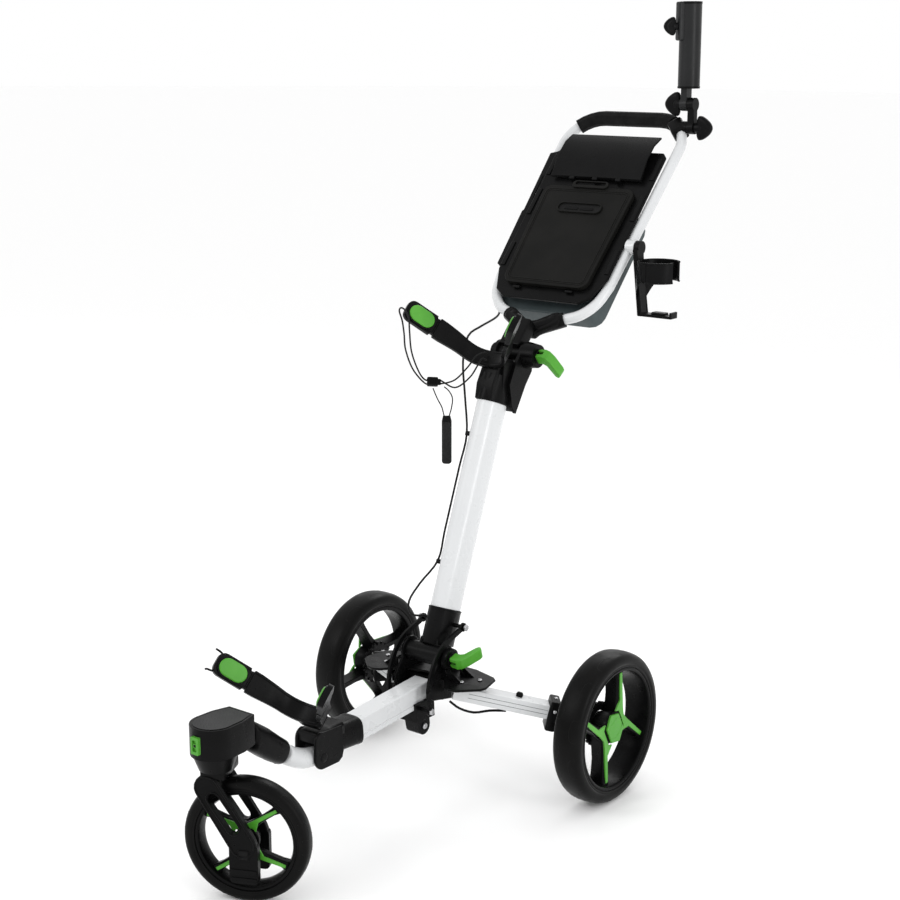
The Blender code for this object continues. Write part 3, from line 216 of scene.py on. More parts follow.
def plastic(name, dark, light, low, high, grain=1500, relief=0.00006, wear=0.16, specular=0.08):
    """Moulded plastic: a fine spark-eroded grain, uneven gloss and lighter edges."""
    material, shader = shader_of(name, light, (low + high) / 2, specular=specular)
    ramp = vary_colour(material, shader, dark, light, 14)
    tone = tuple(min(1.0, 2.2 * c + 0.006) for c in light)
    worn_edges(material, shader, ramp.outputs["Color"], tone, wear)
    vary_roughness(material, shader, low, high, 55)
    bump(material, shader, noise(material, grain, 2.0).outputs["Fac"], relief)
    return material


def white_paint():
    """Gloss powder coat with a faint orange peel."""
    material, shader = shader_of("white_paint", (0.64, 0.65, 0.66), 0.3, coat=0.4)
    vary_colour(material, shader, (0.632, 0.643, 0.652), (0.652, 0.662, 0.670), 5)
    vary_roughness(material, shader, 0.24, 0.36, 40)
    bump(material, shader, noise(material, 420, 2.0).outputs["Fac"], 0.00003)
    return material


def rubber():
    """Solid foam tyre rubber: satin, with dusty patches."""
    material, shader = shader_of("rubber", (0.003, 0.003, 0.003), 0.34, specular=0.09)
    ramp = vary_colour(material, shader, (0.0018, 0.0018, 0.0018), (0.0036, 0.0035, 0.0034), 22)
    worn_edges(material, shader, ramp.outputs["Color"], (0.014, 0.0137, 0.0134), 0.3)
    vary_roughness(material, shader, 0.30, 0.44, 35)
    bump(material, shader, noise(material, 900).outputs["Fac"], 0.0001)
    return material


def foam():
    """Closed-cell foam with open pores at the skin."""
    material, shader = shader_of("foam_grip", (0.008, 0.008, 0.008), 0.85, sheen=0.02, specular=0.1)
    vary_colour(material, shader, (0.005, 0.005, 0.005), (0.010, 0.010, 0.010), 60)
    bump(material, shader, cells(material, 900), 0.00025)
    return material


def steel():
    """Zinc-plated steel with fine draw lines."""
    material, shader = shader_of("steel", (0.50, 0.50, 0.51), 0.3, metallic=1.0)
    vary_colour(material, shader, (0.36, 0.36, 0.37), (0.56, 0.56, 0.57), 60)
    vary_roughness(material, shader, 0.22, 0.42, 120)
    bump(material, shader, noise(material, 1400).outputs["Fac"], 0.00003)
    return material


def braid(name, colour):
    """Braided sleeve: small crossed strands over the round cord."""
    material, shader = shader_of(name, colour, 0.75, sheen=0.1, specular=0.2)
    vary_colour(material, shader, tuple(0.6 * c for c in colour), colour, 700)
    bump(material, shader, cells(material, 1300), 0.0003)
    return material


def webbing():
    """Flat woven strap: ribs across it and fine threads along it."""
    material, shader = shader_of("woven_tag", (0.01, 0.01, 0.01), 0.8, sheen=0.12, specular=0.2)
    vary_colour(material, shader, (0.006, 0.006, 0.006), (0.015, 0.015, 0.0155), 300)
    bump(material, shader, crossed_ribs(material, ("Z", 420), ("X", 700)), 0.0004)
    return material


def knurled(name):
    """The caster head's top insert: close rows of tiny squares in a paler plastic."""
    material, shader = shader_of(name, (0.02, 0.02, 0.02), 0.6, specular=0.3)
    vary_colour(material, shader, (0.016, 0.016, 0.017), (0.025, 0.025, 0.026), 30)
    bump(material, shader, crossed_ribs(material, ("X", 90), ("Y", 90)), 0.0006)
    return material


WHITE = white_paint()
BLACK = plastic("black_plastic", (0.0022, 0.0022, 0.0023), (0.0040, 0.0040, 0.0042), 0.24, 0.38)
SATIN = plastic(
    "flap_plastic", (0.003, 0.003, 0.0031), (0.005, 0.005, 0.0052), 0.24, 0.32, 900, 0.00003
)
LID = plastic(
    "lid_plastic", (0.0048, 0.0048, 0.0044), (0.0078, 0.0076, 0.0070), 0.38, 0.48, 1100, 0.00008
)
TUBE = plastic(
    "tube_plastic", (0.0060, 0.0063, 0.0066), (0.0105, 0.0110, 0.0116), 0.28, 0.42, specular=0.22
)
# Painted shade: a darker black laid on the floors of recesses, slots and notches, where shade falls
RECESS_SHADE = plastic(
    "recess_painted_shade", (0.0015, 0.0015, 0.0015), (0.003, 0.003, 0.003), 0.5, 0.6, specular=0.15
)
GREEN = plastic(
    "green_plastic",
    (0.056, 0.275, 0.020),
    (0.082, 0.34, 0.031),
    0.28,
    0.40,
    wear=0.12,
    specular=0.3,
)
SLATE = plastic(
    "slate_plastic", (0.042, 0.056, 0.059), (0.058, 0.074, 0.077), 0.4, 0.52, specular=0.2
)
RUBBER = rubber()
FOAM = foam()
STEEL = steel()
CORD = braid("black_cord", (0.008, 0.008, 0.008))
WEBBING = webbing()
INSERT = knurled("insert_plastic")
SLOTS = {
    "white_paint": WHITE,
    "black_plastic": BLACK,
    "green_plastic": GREEN,
    "slate_plastic": SLATE,
    "rubber": RUBBER,
    "foam_grip": FOAM,
    "steel": STEEL,
    "black_cord": CORD,
    "woven_tag": WEBBING,
}
SLOT_OF = {material.name: slot for slot, material in SLOTS.items()}
SLOT_OF.update(dict.fromkeys((SATIN.name, LID.name, RECESS_SHADE.name, INSERT.name), "black_plastic"))


# Shapes
def settle(piece, material, body):
    """Gives a new piece its finish and hangs it on its body."""
    piece.data.materials.clear()
    piece.data.materials.append(material)
    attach(piece, body)
    return piece


def add(name, data, where=None):
    piece = bpy.data.objects.new(name, data)
    bpy.context.scene.collection.objects.link(piece)
    if where is not None:
        data.transform(where)
    return piece


def from_bmesh(name, work, where=None):
    bmesh.ops.recalc_face_normals(work, faces=work.faces)
    mesh = bpy.data.meshes.new(name)
    work.to_mesh(mesh)
    work.free()
    mesh.shade_smooth()
    return add(name, mesh, where)


def soften(piece, width, segments=2, angle=32):
    """Rounded edges, and shading that keeps the flat faces flat."""
    if width:
        bevel = piece.modifiers.new("edges", "BEVEL")
        bevel.width = width
        bevel.segments = segments
        bevel.limit_method = "ANGLE"
        bevel.angle_limit = radians(angle)
        bevel.use_clamp_overlap = True
    shade = piece.modifiers.new("shade", "WEIGHTED_NORMAL")
    shade.weight = 80
    return piece


def refine(name, material, width=0.0008, segments=2):
    """A CAD node shown as it is, with its finish, fine edge rounding and smooth shading."""
    piece = NODES[name]
    mesh = piece.data
    custom = mesh.attributes.get("custom_normal")
    if custom:
        mesh.attributes.remove(custom)
    mesh.shade_smooth()
    mesh.materials.clear()
    mesh.materials.append(material)
    weld = piece.modifiers.new("weld", "WELD")
    weld.merge_threshold = 0.00002
    return soften(piece, width, segments)


def block(name, size, at, where=AXLE, turn=(0, 0, 0), rounding=0.0):
    work = bmesh.new()
    bmesh.ops.create_cube(work, size=1, matrix=Matrix.Diagonal((*size, 1)))
    there = where @ Matrix.Translation(at) @ Euler(turn).to_matrix().to_4x4()
    return soften(from_bmesh(name, work, there), rounding)


def turned(name, profile, along="X", where=AXLE, at=(0, 0, 0), steps=96, rounding=0.0):
    """A closed profile of (distance, radius) points swept round an axis."""
    work = bmesh.new()
    axis = where @ Matrix.Translation(at) @ Euler(ALONG[along]).to_matrix().to_4x4()
    rings = []
    for n in range(steps):
        turn = 2 * pi * n / steps
        ring = [work.verts.new((r * cos(turn), r * sin(turn), d)) for d, r in profile]
        rings.append(ring)
    for one, two in zip(rings, rings[1:] + rings[:1]):
        count = len(profile)
        for n in range(count):
            work.faces.new((one[n], one[(n + 1) % count], two[(n + 1) % count], two[n]))
    bmesh.ops.remove_doubles(work, verts=work.verts, dist=0.00001)
    return soften(from_bmesh(name, work, axis), rounding)


def plate(name, outline, low, high, where=AXLE, rounding=0.0, holes=()):
    """A flat outline in local XY, filled between two heights along local Z."""
    curve = bpy.data.curves.new(name, "CURVE")
    curve.dimensions = "2D"
    curve.fill_mode = "BOTH"
    curve.extrude = (high - low) / 2
    for loop in (outline, *holes):
        spline = curve.splines.new("POLY")
        spline.points.add(len(loop) - 1)
        for point, (x, y) in zip(spline.points, loop):
            point.co = (x, y, 0, 1)
        spline.use_cyclic_u = True
    shape = bpy.data.objects.new(name + "_curve", curve)
    bpy.context.scene.collection.objects.link(shape)
    bpy.context.view_layer.update()
    graph = bpy.context.evaluated_depsgraph_get()
    mesh = bpy.data.meshes.new_from_object(shape.evaluated_get(graph))
    bpy.data.objects.remove(shape, do_unlink=True)
    work = bmesh.new()
    work.from_mesh(mesh)
    bmesh.ops.remove_doubles(work, verts=work.verts, dist=0.00002)
    bmesh.ops.dissolve_limit(work, angle_limit=0.01, verts=work.verts, edges=work.edges)
    there = where @ Matrix.Translation((0, 0, (low + high) / 2))
    return soften(from_bmesh(name, work, there), rounding)


def wire(name, lines, radius, where=None, resolution=4, closed=False):
    """Round bars along lines of points, as one curve object with filled ends."""
    curve = bpy.data.curves.new(name, "CURVE")
    curve.dimensions = "3D"
    curve.bevel_depth = radius
    curve.bevel_resolution = resolution
    curve.use_fill_caps = True
    for line in lines:
        spline = curve.splines.new("POLY")
        spline.points.add(len(line) - 1)
        for point, spot in zip(spline.points, line):
            point.co = (*(where @ Vector(spot) if where is not None else spot), 1)
        spline.use_cyclic_u = closed
        spline.use_smooth = True
    return add(name, curve)


def merge(name, pieces):
    """One object made of several meshes, with their modifiers applied."""
    work = bmesh.new()
    bpy.context.view_layer.update()
    graph = bpy.context.evaluated_depsgraph_get()
    for piece in pieces:
        mesh = bpy.data.meshes.new_from_object(piece.evaluated_get(graph))
        work.from_mesh(mesh)
        bpy.data.objects.remove(piece, do_unlink=True)
    mesh = bpy.data.meshes.new(name)
    work.to_mesh(mesh)
    work.free()
    mesh.shade_smooth()
    return soften(add(name, mesh), 0)


def arc(centre, radius, start, stop, steps):
    turns = [radians(start + (stop - start) * n / steps) for n in range(steps + 1)]
    return [(centre[0] + radius * cos(a), centre[1] + radius * sin(a)) for a in turns]


def rounded_box(half_x, half_y, radius, steps=6):
    points = []
    for sign_x, sign_y, start in ((1, 1, 0), (-1, 1, 90), (-1, -1, 180), (1, -1, 270)):
        centre = (sign_x * (half_x - radius), sign_y * (half_y - radius))
        points += arc(centre, radius, start, start + 90, steps)
    return points


def superellipse(half_x, half_y, power, count=40):
    """A section between an ellipse (power 2) and a box (a high power)."""
    points = []
    for n in range(count):
        c, d = cos(2 * pi * n / count), sin(2 * pi * n / count)
        points.append((
            half_x * abs(c) ** (2 / power) * (1 if c > 0 else -1),
            half_y * abs(d) ** (2 / power) * (1 if d > 0 else -1),
        ))
    return points


def long_hole(half, radius, y=0.0):
    """A straight slot's outline, with round ends and its middle at a height y."""
    return capsule((-half, y), (half, y), radius, radius)


def capsule(start, stop, radius_start, radius_stop, steps=12):
    heading = atan2(stop[1] - start[1], stop[0] - start[0]) * 180 / pi
    return arc(start, radius_start, heading + 90, heading + 270, steps) + arc(
        stop, radius_stop, heading - 90, heading + 90, steps
    )


def head(radius, shoulder, height, crown):
    """The section of a low round head with a chamfered edge, to be turned."""
    return [(0.0, 0.0), (0.0, radius), (shoulder, radius), (height, crown), (height, 0.0)]


def smooth_line(points, steps):
    """A Catmull-Rom curve through points, with a number of steps on each stretch."""
    line = [Vector(p) for p in points]
    line = [2 * line[0] - line[1], *line, 2 * line[-1] - line[-2]]
    found = []
    for a, b, c, d in zip(line, line[1:], line[2:], line[3:]):
        for n in range(steps):
            t = n / steps
            found.append(
                0.5
                * (
                    2 * b
                    + (c - a) * t
                    + (2 * a - 5 * b + 4 * c - d) * t**2
                    + (3 * b - a - 3 * c + d) * t**3
                )
            )
    return found + [line[-2]]


def length_of(line):
    return sum((b - a).length for a, b in zip(line, line[1:]))


# Cords
LOCK_AT = Vector((-0.080, 0.0292, 0.0854))
LOCK_ALONG = Vector((-0.70, 0.55, 0.46)).normalized()
LOCK_ACROSS = Vector((0.55, 0.83, 0.0)).cross(LOCK_ALONG).normalized()
LOCK_CHANNEL = 0.0038
TAG_AT = Vector((-0.0615, -0.0340, 0.7010))
TAG_WIDTH, TAG_LENGTH = 0.0190, 0.0950
TAG_TURN = radians(38)


def tag_loop():
    """From under the cord lock down through the tag's head and back up to the cord."""
    across = Vector((cos(TAG_TURN), sin(TAG_TURN), 0))
    up = Vector((0, 0, 1))
    foot = [TAG_AT + across * x + up * (z + 0.0022) for x, z in arc((0, 0), 0.0056, 180, 360, 4)]
    near = [Vector((-0.0790, -0.0540, 0.7553)), Vector((-0.0740, -0.0478, 0.7360))]
    near.append(Vector((-0.0684, -0.0405, 0.7180)))
    far = [Vector((-0.0545, -0.0275, 0.7180)), Vector((-0.0535, -0.0265, 0.7350))]
    far += [Vector((-0.0575, -0.0320, 0.7490)), Vector((-0.0632, -0.0395, 0.7578))]
    return near + foot + far


def bag_cord_route():
    """From the bracket's root through the lock, over the strap's far tip, and all the way back."""
    entry, leave = LOCK_AT - LOCK_ALONG * 0.0145, LOCK_AT + LOCK_ALONG * 0.0145
    beside = LOCK_ACROSS * LOCK_CHANNEL
    route = [(-0.010, 0.0066, -0.006), (-0.013, 0.0150, -0.004), (-0.022, 0.0200, 0.010)]
    route += [(-0.032, 0.0150, 0.034), (-0.048, 0.0120, 0.064)]
    route += [entry + beside, LOCK_AT + beside, leave + beside]
    route += [(-0.104, 0.068, 0.088), (-0.117, 0.098, 0.066), (-0.1235, 0.117, 0.042)]
    route += [(-0.1325, 0.129, 0.022), (-0.1370, 0.1440, 0.011), (-0.1290, 0.1520, 0.0085)]
    route += [(-0.1200, 0.1480, 0.0110), (-0.1130, 0.1370, 0.0200), (-0.1130, 0.1180, 0.0360)]
    route += [(-0.109, 0.090, 0.063), (-0.098, 0.060, 0.084)]
    route += [leave - beside, LOCK_AT - beside, entry - beside]
    route += [(-0.050, -0.002, 0.072), (-0.028, 0.000, 0.046), (-0.016, 0.0100, 0.020)]
    route += [(-0.010, 0.0150, 0.010), (-0.006, 0.0066, 0.006)]
    return [UPPER_BRACKET @ Vector(point) for point in route]


def cords():
    """The elastic bag cord with its lock, and the short loop that carries the woven tag."""
    axes = Matrix((LOCK_ALONG, LOCK_ACROSS, LOCK_ALONG.cross(LOCK_ACROSS))).transposed().to_4x4()
    where = UPPER_BRACKET @ Matrix.Translation(LOCK_AT) @ axes
    lock = refine("cord_lock", BLACK, 0.0005)
    ribs = [
        block("rib", (0.0012, 0.0150, 0.0016), (x, 0, 0.0058), where, rounding=0.0004)
        for x in (-0.006, -0.003, 0.0, 0.003, 0.006)
    ]
    ribs.append(block("button", (0.007, 0.012, 0.005), (-0.0125, 0, 0), where, rounding=0.0012))
    settle(merge("cord_lock_ribs", ribs), BLACK, "main")
    line = smooth_line(bag_cord_route(), 6)
    piece = settle(wire("bag_cord_line", [line], CORD_RADIUS), CORD, "main")
    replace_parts(piece, "bag_cord")
    loop = smooth_line([AXLE @ point for point in tag_loop()], 6)
    name_tag()
    string = settle(wire("tag_string", [loop], STRING_RADIUS), CORD, "main")


def name_tag():
    """A folded strap with sewn edges, a rounded foot and a moulded clasp round its head."""
    facing = AXLE @ Matrix.Translation(TAG_AT) @ Matrix.Rotation(TAG_TURN, 4, "Z")
    upright = facing @ Matrix(((1, 0, 0, 0), (0, 0, -1, 0), (0, 1, 0, 0), (0, 0, 0, 1)))
    half = TAG_WIDTH / 2
    outline = [(half * 0.72, 0), (half, -0.010), (half, 0.009 - TAG_LENGTH)]
    outline += arc((half - 0.006, 0.006 - TAG_LENGTH), 0.006, 0, -90, 5)
    outline += arc((0.006 - half, 0.006 - TAG_LENGTH), 0.006, -90, -180, 5)
    outline += [(-half, -0.010), (-half * 0.72, 0)]
    strap = plate("tag_strap", outline, -0.0012, 0.0012, upright, 0.0006)
    settle(strap, WEBBING, "main")
    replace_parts(strap, "name_tag")
    stitches = []
    for side in (-1, 1):
        for n in range(26):
            low = -0.020 - n * 0.0027
            x = side * (half - 0.0018)
            stitches.append([(x, low, 0.0012), (x, low - 0.0017, 0.0012)])
    settle(wire("tag_stitches", stitches, 0.00025, upright, 2), SLATE, "main")
    clasp = block("tag_clasp", (0.0150, 0.0046, 0.0120), (0, 0, -0.0065), facing, rounding=0.001)
    settle(clasp, BLACK, "main")


cords()


# Wheels
def tyre_profile(radius, opening, width):
    """Half of the tyre's section, from the bead to the crown: bead lip, wall ring, shoulder."""
    half, seat = width / 2, opening + 0.0048
    band = radius - seat
    return [
        (0.80 * half, seat - 0.0006),
        (0.90 * half, seat - 0.0002),
        (0.945 * half, seat + 0.04 * band),
        (0.955 * half, seat + 0.10 * band),
        (0.935 * half, seat + 0.145 * band),
        (0.955 * half, seat + 0.19 * band),
        (0.995 * half, seat + 0.25 * band),
        (1.000 * half, seat + 0.36 * band),
        (0.985 * half, seat + 0.50 * band),
        (0.945 * half, seat + 0.64 * band),
        (0.870 * half, seat + 0.77 * band),
        (0.740 * half, seat + 0.88 * band),
        (0.560 * half, seat + 0.945 * band),
        (0.300 * half, seat + 0.985 * band),
        (0.0, radius),
    ]


def height_on(profile, x):
    """The tyre's radius at a distance from its middle plane, on the tread side."""
    tread = profile[7:]
    for (x0, r0), (x1, r1) in zip(tread, tread[1:]):
        if x1 <= x <= x0:
            return r0 + (r1 - r0) * (x0 - x) / (x0 - x1)
    return tread[0][1]


def tyre(name, radius, opening, width, where, body, pads):
    """The tyre's section turned round, with U-shaped moulded lines over both shoulders."""
    profile = tyre_profile(radius, opening, width)
    whole = [(x, r) for x, r in profile] + [(-x, r) for x, r in reversed(profile[:-1])]
    piece = turned(name + "_rubber", whole, "X", where, steps=144)
    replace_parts(settle(piece, RUBBER, body), name)
    half = width / 2
    lines = []
    for side in (-1, 1):
        for n in range(pads):
            middle = 360 * (n + (0.5 if side > 0 else 0)) / pads
            outline = arc((0, 0.56), 0.24, 180, 360, 10)
            outline = [(-0.24, 0.97), (-0.24, 0.76), *outline, (0.24, 0.76), (0.24, 0.97)]
            line = []
            for across, out in outline:
                turn = radians(middle + across * 360 / pads * 1.15)
                x = out * half
                r = height_on(profile, x) - 0.0006
                line.append((side * x, r * sin(turn), r * cos(turn)))
            lines.append(line)
    marks = wire(name + "_lines", lines, 0.0009, where, 2)
    settle(marks, RUBBER, body)


def spoke(where, start, stop, depth, face, root, waist, tip):
    """A deep spoke between two points of the wheel's plane, narrower halfway and dished."""
    ahead = stop - start
    work = bmesh.new()
    sections = []
    widths = {0.0: root, 0.25: (root + waist) / 2, 0.5: waist, 0.82: waist * 1.08, 1.0: tip}
    for t, wide in widths.items():
        r = ahead.length * t
        top = face - 0.0015 * sin(pi * t)
        low = face - depth * (1 - 0.10 * sin(pi * t))
        back = wide * 0.62
        ring = [(low, -back / 2), (top - 0.004, -wide / 2), (top, -wide / 2 + 0.003)]
        ring += [(top, wide / 2 - 0.003), (top - 0.004, wide / 2), (low, back / 2)]
        sections.append([work.verts.new((x, s, r)) for x, s in ring])
    for one, two in zip(sections, sections[1:]):
        for n in range(6):
            work.faces.new((one[n], one[(n + 1) % 6], two[(n + 1) % 6], two[n]))
    work.faces.new(sections[0])
    work.faces.new(list(reversed(sections[-1])))
    there = where @ Matrix.Translation((0, start.x, start.y))
    there = there @ Matrix.Rotation(atan2(ahead.y, ahead.x) - pi / 2, 4, "X")
    return soften(from_bmesh("spoke", work, there), 0.0012, 2)


def rim(name, opening, width, hub, depth, elbow, where, body, strips):
    """Ring with rolled lips, hub with a bearing seat, and four spokes in two V shapes."""
    half, seat = width / 2 - 0.003, opening + 0.0045
    face = SPOKE_FACE * width
    ring = [(-half, opening - 0.0035), (-half - 0.001, opening), (-half, seat), (half, seat)]
    ring += [(half + 0.0012, opening + 0.001), (half, opening - 0.002)]
    ring += [(half - 0.004, opening - 0.0035), (0, opening - 0.006)]
    ring.append((-half + 0.004, opening - 0.005))
    pieces = [turned("ring", ring, "X", where, steps=144, rounding=0.0006)]
    low = face - 1.35 * depth
    hub_shape = [(low, 0.0095), (low, 0.62 * hub), (low + 0.006, 0.78 * hub), (face - 0.009, hub)]
    hub_shape += [(face - 0.001, hub), (face, 0.94 * hub), (face, 0.0095)]
    pieces.append(turned("hub", hub_shape, "X", where, steps=48, rounding=0.0008))
    root, waist, tip = 0.22 * opening, 0.135 * opening, 0.215 * opening
    for side in (0, pi):
        for spread in (-SPOKE_HALF_ANGLE, SPOKE_HALF_ANGLE):
            middle, end = elbow + side, elbow + side + spread
            start = Vector((cos(middle), sin(middle))) * 0.212 * opening
            stop = Vector((cos(end), sin(end))) * (opening - 0.0035)
            pieces.append(spoke(where, start, stop, depth, face, root, waist, tip))
    body_piece = merge(name + "_casting", pieces)
    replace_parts(settle(body_piece, BLACK, body), name)
    if strips:
        settle(v_strips(name, opening, face, elbow, where), GREEN, body)


def v_strips(name, opening, face, elbow, where):
    """Two V-shaped inlays on the spokes' faces, whose backs run along the hub cap's edges."""
    facing = sideways(where)
    scale = opening / REAR_WHEEL[1]
    out = 0.1055
    tip = Vector((out * cos(SPOKE_HALF_ANGLE), out * sin(SPOKE_HALF_ANGLE)))
    root = Vector((0.0300, 0.0))
    ahead = (tip - root).normalized()
    inward = Vector((-ahead.y, ahead.x))
    half = [Vector((0.0378, 0.0)), Vector((0.0390, 0.0055)), root + ahead * 0.020 - inward * 0.0050]
    half += [tip - inward * 0.0038, tip + inward * 0.0038, root + ahead * 0.036 + inward * 0.0046]
    half += [Vector((0.0188, 0.0258)), Vector((0.0282, 0.0190)), Vector((0.0282, 0.0))]
    outline = half + [Vector((point.x, -point.y)) for point in reversed(half[1:-1])]
    shapes = []
    for side in (0, pi):
        turn = elbow + side
        c, d = cos(turn), sin(turn)
        points = [(scale * (p.x * c - p.y * d), scale * (p.x * d + p.y * c)) for p in outline]
        shapes.append(plate("v_strip", points, face - 0.002, face + 0.0014, facing, 0.0006))
    return merge(name + "_strips", shapes)


def brake_ring(label, where, body):
    """The toothed ring on the wheel's inner side that the parking brake's pin drops into."""
    teeth, outer, root = 20, 0.0430, 0.0375
    outline = []
    for n in range(teeth):
        base = 360 * n / teeth
        outline += arc((0, 0), outer, base, base + 9, 2)
        outline += arc((0, 0), root, base + 10.5, base + 16.5, 2)
    hole = arc((0, 0), 0.0260, 0, 352.5, 47)
    facing = sideways(where)
    ring = plate(label + "_brake_ring", outline, -0.0235, -0.0175, facing, 0.0006, [hole])
    settle(ring, BLACK, body)


def middle_of(name):
    low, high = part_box(name)
    return (low + high) / 2


def wheels():
    for side, label in ((1, "left"), (-1, "right")):
        where = outward(Matrix.Translation(middle_of(label + "_tyre")), side)
        elbow = radians(27.5 if side > 0 else 116)
        body = label + "_wheel"
        tyre(label + "_tyre", *REAR_WHEEL, where, body, TREAD_PADS)
        rim(label + "_rim", *REAR_WHEEL[1:], 0.030, 0.034, elbow, where, body, True)
        brake_ring(label, where, body)
        refine(label + "_hub_cap", GREEN, 0.0006)
        facing = sideways(where) @ Matrix.Rotation(elbow, 4, "Z") @ Matrix.Rotation(pi / 2, 4, "Z")
        frame_line = [(0.0165, -0.013), (0.0165, 0.013), (0, 0.0255)]
        frame_line += [(-0.0165, 0.013), (-0.0165, -0.013), (0, -0.0255)]
        lift = SPOKE_FACE * REAR_WHEEL[2] + 0.0047
        line = [(x, y, lift) for x, y in frame_line]
        settle(wire(label + "_cap_line", [line], 0.0005, facing, 2, True), GREEN, body)
    where = CASTER @ Matrix.Translation((0, CASTER_TRAIL, FRONT_WHEEL[0]))
    tyre("front_tyre", *FRONT_WHEEL, where, "front_wheel", TREAD_PADS)
    rim("front_rim", *FRONT_WHEEL[1:], 0.022, 0.022, radians(98), where, "front_wheel", True)


# CAD nodes that are shown as they are
def cad_finishes():
    """Finishes every CAD node that no other function here finishes or replaces."""
    smooth = {"front_curved_tube", "handle_loop", "fold_bolt"}
    done = {"left_tyre", "right_tyre", "front_tyre", "left_rim", "right_rim", "front_rim"}
    done |= {"bag_cord", "name_tag", "cord_lock", "swivel_lock_button"}
    done |= {"left_hub_cap", "right_hub_cap", "front_sleeve", "front_joint"}
    done |= {"upper_bag_bracket", "lower_bag_bracket"}
    done |= {node for node in NODES if "_bag_pad_" in node or "umbrella_knob" in node}
    special = {"card_flap": SATIN, "console_lid": LID, "umbrella_tube": TUBE}
    special |= {"left_brake_rod": BLACK, "right_brake_rod": BLACK}
    slots = {row["node"]: row["material_slot"] for row in frame["record"]["subparts"]}
    for name in sorted(NODES):
        if name in done:
            continue
        material = special.get(name, SLOTS[slots[name]])
        refine(name, material, 0.0 if name in smooth else 0.0007)


# Console
def console_details():
    """The lid's double rim, its recess and latch handle, the hinge pins and the tray's edges."""
    shape = arc((0.079, 0.036), 0.0125, -90, -10, 6) + arc((0.0875, 0.2395), 0.0110, 5, 90, 6)
    shape = shape + [(-x, y) for x, y in reversed(shape)]
    inner = arc((0.079, 0.036), 0.0090, -90, -10, 6) + arc((0.0870, 0.2390), 0.0075, 5, 90, 6)
    inner = inner + [(-x, y) for x, y in reversed(inner)]
    rims = [[(x, y, LID_FACE - 0.0002) for x, y in line] for line in (shape, inner)]
    settle(wire("lid_rims", rims, 0.0013, CONSOLE, 3, True), LID, "console_lid")
    slot_at = CONSOLE @ Matrix.Translation((0, 0.205, 0))
    outer = long_hole(0.040, 0.0125)
    well = long_hole(0.040, 0.0098)
    low, high = LID_FACE - 0.001, LID_FACE + 0.0032
    rim_piece = plate("lid_well_rim", outer, low, high, slot_at, 0.0014, [well])
    settle(rim_piece, LID, "console_lid")
    # The well's floor is painted shade: a darker black where the recess is shaded
    floor_piece = plate("lid_well", well, LID_FACE - 0.001, LID_FACE + 0.0004, slot_at)
    settle(floor_piece, RECESS_SHADE, "console_lid")
    bars = []
    for low, high in ((-0.033, -0.006), (0.004, 0.030)):
        bar = capsule((low, -0.0015), (high, -0.0015), 0.0034, 0.0034)
        bars.append(plate("bar", bar, LID_FACE, LID_FACE + 0.0016, slot_at, 0.0007))
    settle(merge("lid_well_bars", bars), BLACK, "console_lid")
    latch = long_hole(0.034, 0.0085, 0.263)
    gap = long_hole(0.032, 0.0040, 0.2650)
    handle = plate("latch_handle", latch, 0.0060, 0.0105, CONSOLE, 0.0014, [gap])
    settle(handle, LID, "console_lid")
    pins = [
        block("pin", (0.012, 0.007, 0.008), (x, 0.281, 0.0035), CONSOLE, rounding=0.0014)
        for x in (-0.055, 0.0, 0.055)
    ]
    settle(merge("flap_stops", pins), BLACK, "handle")
    knuckles = []
    for x in (-0.062, 0.062):
        profile = [(-0.008, 0.0), (-0.008, 0.0030), (0.008, 0.0030), (0.008, 0.0)]
        knuckles.append(turned("knuckle", profile, "X", CONSOLE, (x, 0.0095, 0.0002), 24, 0.0006))
    settle(merge("lid_hinges", knuckles), BLACK, "handle")
    tray_wing()
    steps = []
    for side in (-1, 1):
        for low, high in ((0.060, 0.118), (0.190, 0.255), (0.292, 0.345)):
            middle = (low + high) / 2
            at = (side * 0.1235, middle, -0.0030)
            steps.append(block("step", (0.010, high - low, 0.0030), at, CONSOLE, rounding=0.0012))
    settle(merge("tray_steps", steps), BLACK, "handle")


def tray_wing():
    """The tray's left wing, which runs out to the handle's tube, with its slit and lower lip."""

    def beside_tube(y, inset=0.0):
        return (-(0.1400 + 0.0316 * (y - 0.044)) + inset, y)

    edge = [beside_tube(y) for y in (0.066, 0.130, 0.200)]
    edge += [beside_tube(y, 0.0030) for y in (0.2035, 0.280, 0.352)]
    outer = [(x - 0.0022, y) for x, y in edge]
    slit = [(-0.1335, 0.232), (-0.1362, 0.232), (-0.1386, 0.292), (-0.1372, 0.292)]
    top = [(-0.112, 0.050), *outer, (-0.112, 0.364)]
    wing = plate("wing", top, -0.0115, -0.0085, CONSOLE, 0.0010, [slit])
    low_lip = [*outer[:3], *reversed(edge[:3])]
    lip = plate("lip", low_lip, -0.0280, -0.0095, CONSOLE, 0.0008)
    settle(merge("tray_wing", [wing, lip]), BLACK, "handle")


# Bag brackets
def bracket_line():
    half = [(0.0, 0.0), (0.026, 0.004), (0.044, 0.018), (0.060, 0.048)]
    return half + [(0.082, 0.078), (0.104, 0.108), (0.128, 0.142)]


TIP_LENGTH = 0.0740  # of the plate at each end of a bracket's strap, with its notches
NOTCH_AT = 0.0665  # from the tip


def loft(name, sections, where=AXLE, rounding=0.0):
    """Closed sections of equal count, skinned one to the next and capped at both ends."""
    work = bmesh.new()
    rings = [[work.verts.new(point) for point in section] for section in sections]
    count = len(rings[0])
    for one, two in zip(rings, rings[1:]):
        for n in range(count):
            work.faces.new((one[n], one[(n + 1) % count], two[(n + 1) % count], two[n]))
    work.faces.new(rings[0])
    work.faces.new(list(reversed(rings[-1])))
    return soften(from_bmesh(name, work, where), rounding)


